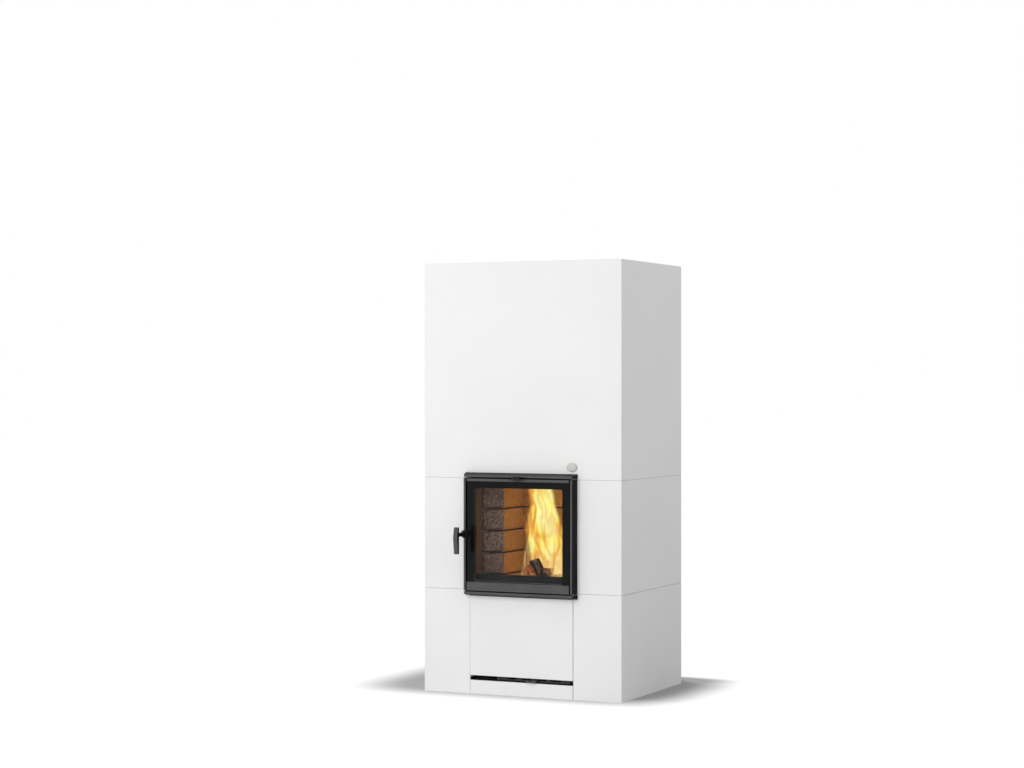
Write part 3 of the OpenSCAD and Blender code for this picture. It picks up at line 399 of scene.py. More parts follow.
@shared("Fine Grain", "Height", "Shade", Scale=400.0, Clouds=3.0)
def fine_grain(w, scale, clouds):
    """The small unevenness of a sprayed or rolled coat, with slow clouds over it."""
    fine = w.noise(scale * 0.6)
    return fine + w.cells(scale) * 0.35, w.noise(clouds, 4.0, 0.5) * 0.7 + fine * 0.3


@shared("Brushed", "Height", "Shade", Stretch=(30.0, 900.0, 900.0))
def brushed(w, stretch):
    """Fine lines along one direction, as in rolled or ground steel."""
    lines = w.noise(1.0, 5.0, 0.7, at=w.scaled(w.place(), stretch))
    return lines, lines * 0.6 + w.noise(14.0, 3.0, 0.5) * 0.4


@shared("Fire Light", "Glow", Surface=GREY, Warmth=GREY, Heart=(0.0, 0.0, 0.6), Rise=0.13,
        Reach=0.12, Strength=1.0)
def fire_light(w, surface, warmth, heart, rise, reach, strength):
    """The flames' light on what stands round them: a warm line of light, painted as a glow."""
    x, y, z = w.parts(heart)
    height = w.parts(w.place())[2]
    level = w.math("MINIMUM", w.math("MAXIMUM", height, z - rise), z + rise)
    ray = w.vector("SUBTRACT", w.give("CombineXYZ", x, y, level), w.place())
    far = w.math("MAXIMUM", w.vector("LENGTH", ray, out=1), 0.02)
    facing = w.vector("DOT_PRODUCT", w.vector("NORMALIZE", ray), w.normal(), out=1)
    fading = w.math("DIVIDE", 1.0, 1.0 + (far / reach) ** 2.0)
    flicker = w.noise(9.0, 2.0, 0.5).spread(0.25, 0.75, 0.90, 1.08)
    power = w.math("MAXIMUM", facing, 0.0) * fading * (flicker * strength)
    tinted = w.mix(1.0, surface, warmth, "MULTIPLY")
    return [w.give("VectorMath", tinted, operation="SCALE", sockets={"Scale": power})]


@shared("Ash Dust", "Mask", Amount=0.5, Top=0.5)
def ash_dust(w, amount, top):
    """Where ash has settled: on faces that look up, thicker near the grate."""
    low = w.parts(w.place())[2].spread(top, top - 0.12)
    cloud = w.noise(45.0, 6.0, 0.7).spread(0.38, 0.62)
    lying = w.parts(w.normal())[2].spread(0.2, 0.9, 0.18, 1.0) * low
    return [(lying * cloud * amount).clamped()]


# ---- Materials

def material(name, paint, *given, clear_shadow=False):
    """A material with one Principled shader, whose sockets paint fills."""
    made = bpy.data.materials.new(name)
    made.use_nodes = True
    made.node_tree.nodes.clear()
    w = Weaver(made.node_tree)
    surface = w.give("BsdfPrincipled", sockets=paint(w, *given))
    if clear_shadow:
        shadow = w.give("LightPath", out="Is Shadow Ray")
        surface = w.give("MixShader", shadow, surface, w.give("BsdfTransparent"))
    w.node("OutputMaterial", surface)
    return made


def plaster(w):
    """Mineral paint, rolled on: pores, slow clouds and slightly rubbed edges."""
    stone = settings("stone")
    coat = w.effect("Fine Grain", scale=520.0, clouds=2.6)
    wear = w.wear(stone.block_round, 40.0)
    pores = w.cells(230.0).spread(0.10, 0.03, 0.0, 0.10)
    ground = w.mix(pores, w.tones(coat["Shade"], stone.plaster, 0.972, 1.018),
                   shade(stone.plaster, 0.72))
    ground = w.mix(wear["Mask"] * 0.10, ground, shade(stone.plaster, 0.86))
    return w.surface(ground, coat["Shade"].spread(0.3, 0.7, 0.52, 0.66),
                     coat["Height"] - pores, 0.00006, wear, 0.35)


def block(w, base, grain, amount, depth, rough):
    """A cast or fired block with its grain and worn edges."""
    pale = shade(base, 1.35)
    grit = w.effect("Speckle", ground=base, dark=shade(base, 0.55), pale=pale, grain=grain,
                    amount=amount)
    wear = w.wear(0.0025, 90.0)
    return w.surface(w.mix(wear["Mask"] * 0.5, grit["Color"], pale),
                     grit["Height"].spread(0.2, 0.8, rough - 0.08, rough + 0.08),
                     grit["Height"], depth, wear)


def lining(w):
    """Refractory blocks with soot patches, painted shade at the lip and in the slits,
    and painted firelight where they face the fire.
    """
    stone = settings("stone")
    pale = shade(stone.lining, 2.1)
    grit = w.effect("Speckle", ground=stone.lining, dark=shade(stone.lining, 0.25), pale=pale,
                    grain=300.0, amount=0.9)
    wear = w.wear(0.003, 70.0)
    side, depth, height = w.parts(w.place())
    inside = depth.spread(stone.mouth - 0.002, stone.mouth + 0.002)
    # Painted shade on the recessed lip at the sides.
    lip = w.math("ABSOLUTE", side).spread(stone.lip, stone.lip + 0.001, 0.0, 0.55)
    smoked = height.spread(stone.smoke_line, stone.smoke_line + 0.025)
    soot = w.noise(7.0).spread(0.45, 0.72, 0.0, 0.22)
    course = w.math("FRACT", (height - stone.first_slit) / stone.course)
    # Painted shade in the slits between the courses, strongest on the cheeks.
    slit = (course.spread(0.155, 0.135) * (0.85 - inside)).clamped()
    ground = w.mix(wear["Mask"] * 0.3, grit["Color"], pale)
    # Painted firelight: the straight walls past the mouth, which face the fire, get a warm tint.
    ground = w.mix(inside, ground, w.mix(1.0, ground, (0.80, 0.55, 0.28), "MULTIPLY"))
    # Soot patches, painted shade on the lip and in the slits, and black above the smoke line.
    for mask, black in ((soot, (0.035, 0.028, 0.024)), (lip, (0.014, 0.014, 0.014)),
                        (smoked, (0.006, 0.005, 0.005)), (slit, (0.022, 0.018, 0.016))):
        ground = w.mix(mask, ground, black)
    lit = w.mix(0.30, grit["Color"], (0.80, 0.66, 0.51))
    return w.surface(ground, grit["Height"].spread(0.2, 0.8, 0.78, 0.95), grit["Height"], 0.0005,
                     wear, glow=w.firelight(lit, 0.20, 0.34, (inside - smoked).clamped()))


def stove_paint(w, base, rough, worn, level=0.12, fire_part=0.0):
    """Stove paint on steel: fine grain, rubbed edges, and firelight where it is near the fire."""
    coat = w.effect("Fine Grain", scale=700.0, clouds=9.0)
    wear = w.wear(settings("steel").edge_round * 2, 120.0)
    ground = w.mix(wear["Mask"] * worn, w.tones(coat["Shade"], base, 0.86, 1.14),
                   shade(base, 2.6))
    glow = w.firelight((0.19, 0.13, 0.11), 0.16, 0.2, fire_part) if fire_part else None
    return w.surface(ground, coat["Shade"].spread(0.3, 0.7, rough - 0.05, rough + 0.07),
                     coat["Height"], 0.00007, wear, level, glow)


def lit_front_shaded_flank_paint(w):
    """Satin paint: grey fronts as a painted highlight, black flanks as painted shade."""
    steel = settings("steel")
    front, flank = steel.frame_paint, steel.flank_paint
    coat = w.effect("Fine Grain", scale=620.0, clouds=9.0)
    wear = w.wear(steel.edge_round * 2, 120.0)
    facing = w.parts(w.give("TexCoord", out="Normal"))[1]
    # Painted highlight and shade: faces that look forward take the front colour, the others the
    # flank colour.
    ground = w.mix((facing * -1.0).spread(0.35, 0.92), flank, front)
    ground = w.mix(coat["Shade"].spread(0.35, 0.65, 0.0, 0.16), ground, flank)
    # Paler along the edges: partly rubbed paint, partly a painted highlight where the edges catch
    # the light.
    ground = w.mix(wear["Mask"] * steel.wear, ground, shade(front, 1.6))
    return w.surface(ground, coat["Shade"].spread(0.3, 0.7, 0.37, 0.49), coat["Height"], 0.00007,
                     wear, 0.08)


def cast_iron(w):
    """Sand-cast iron, burnt and dusty."""
    iron = settings("steel").iron
    skin = w.effect("Speckle", ground=iron, dark=shade(iron, 0.5), pale=shade(iron, 2.2),
                    grain=650.0, amount=0.5)
    wear = w.wear(0.0015, 80.0)
    rust = w.noise(30.0, 6.0, 0.7).spread(0.5, 0.72, 0.0, 0.5)
    ground = w.mix(w.effect("Ash Dust", amount=0.8, top=0.5)["Mask"],
                   w.mix(rust, skin["Color"], (0.13, 0.055, 0.028)), settings("fire").ash)
    return w.surface(ground, skin["Height"].spread(0.2, 0.8, 0.55, 0.75), skin["Height"], 0.00035,
                     wear, glow=w.firelight(ground, 0.16, 0.15), Metallic=0.6)


def rolled_steel(w, base, rough, stretch):
    """Bare or thinly coated steel with its rolling lines and rubbed edges."""
    lines = w.effect("Brushed", stretch=stretch)
    wear = w.wear(0.0008, 150.0)
    ground = w.mix(wear["Mask"] * 0.5, w.tones(lines["Shade"], base, 0.78, 1.2), shade(base, 1.7))
    return w.surface(ground, lines["Shade"].spread(0.3, 0.7, rough - 0.06, rough + 0.1),
                     lines["Height"], 0.00004, wear, Metallic=0.85)


def lacquer(w):
    """Pale lacquer with a satin sheen and faint handling marks."""
    badge = settings("steel").badge
    coat = w.effect("Fine Grain", scale=1500.0, clouds=60.0)
    wear = w.wear(0.0008, 220.0)
    ground = w.mix(wear["Mask"] * 0.4, w.tones(coat["Shade"], badge, 0.93, 1.06),
                   shade(badge, 0.93))
    return w.surface(ground, coat["Shade"].spread(0.3, 0.7, 0.3, 0.42), coat["Height"], 0.00003,
                     wear, 0.3)


def glass(w):
    """Ceramic glass with a faint haze of use."""
    smear = w.noise(16.0, 5.0, at=w.scaled(w.place(), (1.0, 1.0, 0.35))).spread(0.5, 0.75)
    return {"Base Color": w.mix(smear, (0.985, 0.975, 0.955), (0.96, 0.945, 0.915)),
            "Roughness": smear * 0.012, "Transmission Weight": 1.0, "IOR": 1.2,
            "Specular IOR Level": 0.2}


def enamel(w):
    """Black enamel fired on the glass."""
    coat = w.effect("Fine Grain", scale=2500.0, clouds=12.0)
    return w.surface(w.tones(coat["Shade"], settings("window").print_colour, 0.85, 1.15),
                     coat["Shade"].spread(0.3, 0.7, 0.04, 0.09), coat["Height"], 0.000005,
                     level=0.12)


def yarn(w, scale):
    """Glass-fibre yarn: crossing threads, fuzz and smoke stains."""
    weave = w.cells(scale, "F2")
    ground = w.mix(w.noise(12.0).spread(0.4, 0.7, 0.0, 0.6),
                   w.tones(weave, settings("seal").rope_colour, 0.45, 1.3, 0.2, 0.9),
                   (0.06, 0.05, 0.045))
    fuzz = w.noise(scale * 2.5, 5.0, 0.7)
    return {**w.surface(ground, 0.92, weave + fuzz, 0.0004), "Sheen Weight": 0.25}


def bark(w):
    """Plates of bark with fibres between them, charred in patches."""
    uv = w.round_uv()
    plates = w.cells(1.0, at=w.scaled(uv, (9.0, 26.0, 1.0)))
    fibre = w.noise(1.0, 6.0, 0.7, at=w.scaled(uv, (5.0, 60.0, 1.0)))
    ground = w.mix(w.noise(28.0).spread(0.50, 0.66),
                   w.tones(plates, settings("fire").bark, 0.25, 1.9, 0.1, 0.7),
                   (0.012, 0.010, 0.008))
    return w.surface(ground, 0.88, plates + fibre, 0.0025, level=0.1,
                     glow=w.firelight(ground, 0.12, 0.14, 1.4))


def split_wood(w):
    """Split wood: fibres along the log, scorched in patches."""
    uv = w.round_uv()
    fibre = w.noise(1.0, 6.0, 0.65, 0.3, at=w.scaled(uv, (3.0, 95.0, 1.0)))
    slow = w.noise(1.0, 3.0, 0.5, at=w.scaled(uv, (2.0, 14.0, 1.0)))
    ground = w.mix((w.noise(22.0) + slow * 0.35).spread(0.60, 0.78),
                   w.tones(fibre, settings("fire").wood, 0.3, 1.7, 0.3, 0.7),
                   (0.013, 0.011, 0.010))
    return w.surface(ground, 0.82, fibre, 0.0015, level=0.1,
                     glow=w.firelight(ground, 0.12, 0.14, 1.6))


def burnt_end(w):
    """Burnt end grain with checks."""
    check = w.cells(120.0, "DISTANCE_TO_EDGE")
    rings = w.noise(160.0)
    ground = w.mix(rings.spread(0.35, 0.65), (0.004, 0.004, 0.004), (0.014, 0.012, 0.010))
    return w.surface(w.mix(check.spread(0.05, 0.0), ground, (0.003, 0.003, 0.003)), 0.8,
                     check + rings, 0.002, level=0.1)


def ember(w, threshold, strength):
    """Glowing cracks along the grain of charcoal."""
    strips = w.noise(1.0, 3.0, 0.55, 0.4, at=w.scaled(w.round_uv(), (3.5, 46.0, 1.0)))
    cracks = strips.spread(threshold, threshold + 0.12)
    coal = w.mix(w.noise(260.0).spread(0.35, 0.7), (0.012, 0.009, 0.007), (0.10, 0.075, 0.055))
    glow = w.ramp(cracks * w.noise(30.0, 3.0, 0.5).spread(0.3, 0.7, 0.35, 1.0),
                  (0.0, (0.02, 0.006, 0.001)), (0.35, (0.22, 0.040, 0.004)),
                  (0.7, (0.62, 0.150, 0.010)), (1.0, (0.90, 0.34, 0.04)))
    return {**w.surface(coal, 0.85, strips - cracks, 0.0015, level=0.1, glow=glow),
            "Emission Strength": strength}


def ash(w):
    """Grey flakes with embers glowing through."""
    cloud = w.noise(40.0, 6.0, 0.7)
    glow = w.ramp(w.noise(55.0).spread(0.56, 0.70), (0.0, BLACK), (0.5, (0.5, 0.06, 0.006)),
                  (1.0, (1.0, 0.36, 0.06)))
    return {**w.surface(w.tones(cloud, settings("fire").ash, 0.35, 1.5), 0.95,
                        w.cells(170.0) + cloud, 0.002, glow=glow), "Emission Strength": 0.9}


def burning(w, glow, strength, dense, edge, ends):
    """Gas that only glows: as opaque as dense says, thinner towards the sheet's sides and ends."""
    across = w.parts(w.round_uv())[0]
    rim = w.math("MINIMUM", across, 1.0 - across).spread(0.0, edge)
    return {"Base Color": BLACK, "Roughness": 1.0, "Specular IOR Level": 0.0,
            "Emission Color": glow, "Emission Strength": strength,
            "Alpha": (dense * rim * ends).clamped()}


def flame(w, amount):
    """Burning gas: pale and dense in the middle, orange and thin at the rim, hairy at its foot."""
    across, up, _ = w.parts(w.round_uv())
    sway = w.noise(1.0, 2.0, 0.5, at=w.scaled(w.place(), (11.0, 16.0, 5.5))) - 0.5

    def drawn(stretch, pull, detail):
        """Noise drawn out upwards and swayed sideways."""
        moved = w.vector("ADD", w.scaled(w.place(), stretch), w.give("CombineXYZ", sway * pull))
        return w.noise(1.0, detail, 0.5, at=moved) - 0.5

    off = (across - 0.66) / 0.47
    low = up.spread(0.38, 0.06)
    heat = (w.math("MULTIPLY_ADD", 1.0 - off * off, 0.62, 0.20)
            + drawn((21.0, 20.0, 6.5), 4.0, 2.0) * 3.1)
    heat = heat + (drawn((95.0, 40.0, 15.0), 9.0, 3.0)
                   * w.math("MULTIPLY_ADD", low, 1.8, 0.35)) - low * 0.16
    glow = w.ramp(heat, (0.0, (0.70, 0.25, 0.028)), (0.26, (0.78, 0.34, 0.048)),
                  (0.44, (0.93, 0.68, 0.10)), (0.60, (0.99, 0.93, 0.25)), (0.85, (1.0, 1.0, 0.42)))
    return burning(w, w.mix(low * 0.5, glow, (0.86, 0.50, 0.24)), 1.03,
                   heat.spread(-0.20, 0.30, 0.0, amount), 0.17,
                   up.spread(1.0, 0.93) * up.spread(0.0, 0.05))


def wisp(w):
    """Pale hairs of flame."""
    lines = w.noise(1.0, 3.0, 0.5, 0.9, at=w.scaled(w.place(), (270.0, 40.0, 13.0)))
    glow = w.ramp(lines, (0.4, (0.34, 0.17, 0.05)), (0.7, (0.80, 0.54, 0.22)))
    return burning(w, glow, 1.0, lines.spread(0.38, 0.66, 0.12, 0.75), 0.25,
                   w.parts(w.round_uv())[1].spread(1.0, 0.5))


# Shade round the foot: half width, reach to the front and to the back of the middle, middle,
# squareness, and where the shade ends and where it is full
LEFT_SHADE = 0.755, 0.725, 0.70, 0.30, 6.0, 1.06, 0.75
RIGHT_SHADE = 0.60, 0.725, 0.20, 0.30, 6.0, 1.06, 0.75
DEEP_SHADE = 0.66, 0.50, 0.42, 0.10, 4.0, 1.02, 0.67


def foot_shade(w, x, y, wide, front, back, middle, square, rim, full):
    """A squarish oval of shade round the stove's foot, fading outwards."""
    deep = w.math("MAXIMUM", (middle - y) / front, (y - middle) / back)
    across = w.math("ABSOLUTE", x) / wide
    return ((across ** square + deep ** square) ** (1 / square)).spread(rim, full)


def studio_floor(w):
    """Pale and matt, and filled up to white for the eye, so that only shadows and the painted
    shade round the foot darken it.
    """
    studio, seen = settings("studio"), w.seen()
    x, y, _ = w.parts(w.place())
    left, right = (w.math(way, x, 0.0) for way in ("MINIMUM", "MAXIMUM"))
    broad = w.math("MINIMUM", foot_shade(w, left, y, *LEFT_SHADE),
                   foot_shade(w, right, y, *RIGHT_SHADE))
    deep = foot_shade(w, right, y, *DEEP_SHADE) * x.spread(0.02, 0.38)
    near = w.math("MAXIMUM", broad * studio.contact, deep * (studio.contact * 1.2)).clamped()
    # Painted shade: for light that bounces off it, the floor beside the stove's right side is
    # darker, which darkens the foot of that side.
    bounce_shade_mask = w.vector("DISTANCE", w.place(), (0.95, 0.15, 0.0), out=1).spread(0.95, 0.45)
    ground = w.mix(w.noise(2.0, 4.0, 0.5), studio.floor, shade(studio.floor, 1.02))
    shaded_bounce_floor = w.mix(bounce_shade_mask, ground, shade(studio.floor, 0.5))
    filled = w.mix(near, (studio.fill,) * 3, BLACK)
    return {"Base Color": w.mix(seen, shaded_bounce_floor, shade(studio.floor, 0.31)), "Roughness": 0.9,
            "Specular IOR Level": 0.0, "Emission Color": w.mix(seen, BLACK, filled),
            "Emission Strength": 1.0}


# ---- Shapes

WELD_GAP = 1e-5
BEVEL_FROM = math.radians(40)


def placed(name, data, at=(0.0, 0.0, 0.0)):
    """A new object in the scene."""
    made = bpy.data.objects.new(name, data)
    made.location = at
    bpy.context.scene.collection.objects.link(made)
    return made


def mesh_of(name, bm, finishes, smooth=True):
    """A new object with a bmesh's faces."""
    mesh = bpy.data.meshes.new(name)
    bm.to_mesh(mesh)
    bm.free()
    for finish in finishes:
        mesh.materials.append(finish)
    for face in mesh.polygons:
        face.use_smooth = smooth
    return placed(name, mesh)


def piece(name, bm, finishes, body="root", smooth=True, replaces=()):
    """Turns a bmesh in the stove's frame into a named piece on a body."""
    bmesh.ops.recalc_face_normals(bm, faces=bm.faces)
    made = mesh_of(name, bm, finishes, smooth)
    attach(made, body)
    if replaces:
        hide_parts(*replaces)


def sheet_of(columns, rows, place, closed=False):
    """A grid laid out by place(s, t), both from 0 to 1, with those as its UV map."""
    bm = bmesh.new()
    bmesh.ops.create_grid(bm, x_segments=columns, y_segments=rows, size=0.5)
    uv = bm.loops.layers.uv.new(SHEET_UV)
    spots = {v: (v.co.x + 0.5, v.co.y + 0.5) for v in bm.verts}
    for face in bm.faces:
        for loop in face.loops:
            loop[uv].uv = spots[loop.vert]
    for v, (s, t) in spots.items():
        v.co = place(s, t)
    if closed:
        bmesh.ops.remove_doubles(bm, verts=bm.verts, dist=1e-6)
    return bm


def rounded_loop(bm, half, low, high, radius, y, steps=8):
    """The edges of a rounded rectangle in X and Z."""
    made = bmesh.ops.create_circle(bm, segments=4 * steps, radius=1.0)["verts"]
    for index, vert in enumerate(made):
        corner, step = divmod(index, steps)
        angle = math.radians(90 * (corner + step / (steps - 1)))
        x = (half - radius) * (1, -1, -1, 1)[corner]
        z = high - radius if corner < 2 else low + radius
        vert.co = (x + radius * math.cos(angle), y, z + radius * math.sin(angle))
    return list({e for v in made for e in v.link_edges})


def soften(names, width, segments=2):
    """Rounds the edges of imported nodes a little."""
    for name in names:
        node = frame["nodes"][name]
        node.modifiers.new("Weld", "WELD").merge_threshold = WELD_GAP
        bevel = node.modifiers.new("Bevel", "BEVEL")
        bevel.width = width
        bevel.segments = segments
        bevel.limit_method = "ANGLE"
        bevel.angle_limit = BEVEL_FROM


def dress(names, *finish, **options):
    """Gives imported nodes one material, named and painted as material() takes it."""
    made = material(*finish, **options)
    for name in names:
        node = frame["nodes"][name]
        node.data.materials.clear()
        node.data.materials.append(made)
    return made


def in_slot(*slots):
    """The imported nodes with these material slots."""
    return [row["node"] for row in frame["record"]["subparts"] if row["material_slot"] in slots]


# Each log: start, end, radius, share of bark round it, roll in degrees
LOGS = {
    "log_back": ((-0.118, -0.022, 0.4225), (0.112, -0.030, 0.4215), 0.0305, 0.55, 200),
    "log_front": ((-0.030, -0.096, 0.4190), (0.120, -0.088, 0.4200), 0.0265, 0.45, 30),
    "log_right": ((-0.002, -0.128, 0.4390), (0.042, -0.106, 0.4370), 0.0250, 0.55, 115),
    "log_charred": ((-0.034, -0.122, 0.4540), (-0.006, -0.103, 0.4670), 0.0360, 1.00, 20),
}
EMBER_LOG = (-0.066, -0.126, 0.4500), (-0.008, -0.094, 0.4260), 0.0270, 0.5, 60
SPLIT_HEART = Vector((-0.55, 0.0))
BURNT_LENGTH = 0.010


def split_log(start, end, radius, bark_share, roll, seed):
    """A split log: a rounded bark side and two split faces, uneven along its length."""
    start, end, roll = Vector(start), Vector(end), math.radians(roll)
    along = (end - start).normalized()
    side = along.cross(Vector((0, 0, 1))).normalized()
    up = side.cross(along)
    half_bark = math.pi * bark_share
    ends = [Vector((math.cos(a), math.sin(a))) for a in (-half_bark, half_bark)]

    def outline(t):
        """The log's section at t of the way round, on a circle of 1."""
        if t < bark_share:
            angle = half_bark * (2 * t / bark_share - 1)
            return Vector((math.cos(angle), math.sin(angle)))
        s = 2 * (t - bark_share) / (1 - bark_share)
        a, b = (ends[1], SPLIT_HEART) if s < 1 else (SPLIT_HEART, ends[0])
        return a.lerp(b, s if s < 1 else s - 1)

    def skin(s, t):
        spot = outline(t if t < 1 else 0.0)
        x = spot.x * math.cos(roll) - spot.y * math.sin(roll)
        z = spot.x * math.sin(roll) + spot.y * math.cos(roll)
        slow = noise.noise(Vector((s * 2.2 + seed, x * 1.5, z * 1.5)))
        fibre = noise.noise(Vector((s * 3.0, x * 9.0 + seed, z * 9.0)))
        fine = noise.noise(Vector((s * 40.0 + seed, x * 14.0, z * 14.0)))
        swell = 0.90 + 0.07 * slow + 0.05 * fibre + 0.02 * fine
        point = start.lerp(end, s) + radius * swell * (side * x + up * z)
        return point + side * 0.004 * noise.noise(Vector((s * 1.7, seed, 0)))

    bm = sheet_of(56, 64, skin, closed=True)
    uv = bm.loops.layers.uv[SHEET_UV]
    burnt = BURNT_LENGTH / (end - start).length
    for face in bm.faces:
        far, middle = (sum(loop[uv].uv[axis] for loop in face.loops) / len(face.loops)
                       for axis in (0, 1))
        inside = min(far, 1 - far) > burnt
        face.material_index = (0 if middle < bark_share else 1) if inside else 2
    rims = [e for e in bm.edges if e.is_boundary]
    for cap in bmesh.ops.holes_fill(bm, edges=rims)["faces"]:
        inner = bmesh.ops.inset_individual(bm, faces=[cap], thickness=radius * 0.25,
                                           depth=-radius * 0.06)["faces"]
        for face in (cap, *inner):
            face.material_index = 2
    return bm


# The body of the flames: height, left and right edge
PLUME = [(0.410, -0.055, 0.106), (0.470, -0.065, 0.108), (0.530, -0.074, 0.101),
         (0.590, -0.088, 0.088), (0.650, -0.094, 0.064), (0.700, -0.098, 0.048),
         (0.755, -0.102, 0.032), (0.785, -0.100, 0.024)]
# Each sheet of flame: depth, turn in degrees, part of the body's width, shift, curl, phase
FLAMES = [(-0.036, -6, 0.90, -0.024, 0.012, 0.3), (-0.064, 5, 1.00, -0.012, 0.014, 1.9),
          (-0.090, -3, 0.94, 0.000, 0.012, 3.4), (-0.112, 4, 0.74, 0.016, 0.008, 5.1),
          (-0.162, 2, 0.55, 0.060, 0.004, 0.9), (-0.070, 68, 0.50, 0.006, 0.010, 2.6),
          (-0.078, -62, 0.44, -0.016, 0.010, 4.3)]
# Sheets in front of this depth are thin, so that the wood shows through them
VEIL_FROM = -0.15
# Thin wisps: foot, height, half width, lean
WISPS = [((-0.068, -0.110, 0.422), 0.175, 0.026, 0.010),
         ((-0.088, -0.096, 0.420), 0.120, 0.014, 0.012)]


def flame_sheet(depth, turn, part, shift, curl, phase):
    """One sheet through the body of the flames, swaying as it rises."""
    turn = math.radians(turn)
    across = Vector((math.cos(turn), math.sin(turn), 0))
    through = Vector((-math.sin(turn), math.cos(turn), 0))

    def skin(s, t):
        step = t * (len(PLUME) - 1)
        row = min(int(step), len(PLUME) - 2)
        height, left, right = (a + (b - a) * (step - row)
                               for a, b in zip(PLUME[row], PLUME[row + 1]))
        off = (s - 0.5) * (right - left) * part
        sway = 0.005 * math.sin(math.tau * (1.4 * t + phase))
        bend = curl * math.sin(2.6 * s + math.tau * 0.8 * t + phase)
        return (Vector(((left + right) / 2 + shift + sway, depth, height))
                + across * off + through * bend)

    return sheet_of(26, 60, skin)


def wisp_sheet(foot, height, half, lean):
    """A thin wisp that narrows upwards."""
    def skin(s, t):
        u = 2 * s - 1
        return Vector(foot) + Vector((u * half * (1 - 0.7 * t) + lean * t,
                                      0.006 * math.sin(4 * t + u), height * t))

    return sheet_of(10, 30, skin)


# ---- Operators

class STOVE_OT_cladding(bpy.types.Operator):
    """Paints the cladding blocks and rounds their edges"""
    bl_idname = "stove.cladding"
    bl_label = "Cladding"

    def execute(self, context):
        names = in_slot("cladding")
        dress(names, "Mineral paint", plaster)
        soften(names, settings("stone").block_round)
        return {"FINISHED"}


class STOVE_OT_masonry(bpy.types.Operator):
    """Finishes the core, the inner walls, the firebox lining and the insulation"""
    bl_idname = "stove.masonry"
    bl_label = "Masonry"

    def execute(self, context):
        stone = settings("stone")
        fired = in_slot("firebrick")
        dress(in_slot("concrete"), "Cast core", block, stone.concrete, 180.0, 0.6, 0.0008, 0.82)
        dress(in_slot("insulation"), "Insulation board", block, stone.board, 380.0, 0.25, 0.0004,
              0.9)
        dress(fired, "Fired block", block, stone.chamotte, 260.0, 0.55, 0.0006, 0.86)
        dress([n for n in fired if n.startswith(("lining", "firebox"))] + ["ceiling_slab"],
              "Refractory lining", lining)
        soften(in_slot("concrete", "insulation", "firebrick"), stone.slab_round)
        return {"FINISHED"}


class STOVE_OT_steel(bpy.types.Operator):
    """Finishes the frame, the door, the latch, the levers, the grate and the drawer"""
    bl_idname = "stove.steel"
    bl_label = "Steel parts"

    def execute(self, context):
        steel = settings("steel")
        dress(in_slot("frame_steel"), "Satin stove paint", lit_front_shaded_flank_paint)
        dress(in_slot("black_steel"), "Matt black paint", stove_paint, steel.black_paint, 0.6,
              steel.wear * 0.5)
        # Painted firelight: the plates' brown colour and their glow stand in for the fire's light
        # on them.
        dress(["throat_left", "throat_right", "throat_sill"], "Scorched plate", stove_paint,
              (0.066, 0.034, 0.026), 0.62, steel.wear, 0.12, 0.52)
        dress(["log_retainer"], "Blued plate", stove_paint, (0.0035, 0.0050, 0.0065), 0.6,
              steel.wear * 0.2, 0.02)
        dress(in_slot("cast_iron"), "Cast iron", cast_iron)
        dress(in_slot("bright_steel"), "Bright steel", rolled_steel, steel.bright, 0.3,
              (900.0, 60.0, 900.0))
        dress(in_slot("sheet_steel"), "Sheet steel", rolled_steel, steel.sheet, 0.42,
              (20.0, 700.0, 700.0))
        dress(["upper_air_lever"], "Upper lever coat", stove_paint, (0.020, 0.020, 0.021), 0.4,
              0.8)
        dress(["lower_air_lever"], "Lower lever coat", stove_paint, (0.11, 0.11, 0.11), 0.4, 0.8)
        soften(in_slot("frame_steel"), steel.edge_round)
        soften(in_slot("black_steel", "cast_iron", "bright_steel", "sheet_steel"),
               steel.edge_round * 0.5, 1)
        return {"FINISHED"}


class STOVE_OT_window(bpy.types.Operator):
    """Finishes the glass and prints its black border"""
    bl_idname = "stove.window"
    bl_label = "Window"

    def execute(self, context):
        window = settings("window")
        dress(["door_glass"], "Ceramic glass", glass, clear_shadow=True)
        low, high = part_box("door_glass")
        edge = 2 * window.print_t
        bm = bmesh.new()
        loops = rounded_loop(bm, high.x - edge, low.z + edge, high.z - edge,
                             window.glass_corner, low.y)
        loops += rounded_loop(bm, high.x - window.border_side, low.z + window.border_bottom,
                              high.z - window.border_top, window.corner, low.y)
        flat = bmesh.ops.bridge_loops(bm, edges=loops)["faces"]
        raised = bmesh.ops.extrude_face_region(bm, geom=flat)["geom"]
        bmesh.ops.translate(bm, vec=(0, -window.print_t, 0),
                            verts=[g for g in raised if isinstance(g, bmesh.types.BMVert)])
        piece("glass_print", bm, [material("Glass enamel", enamel)], "door",
              smooth=False)
        return {"FINISHED"}


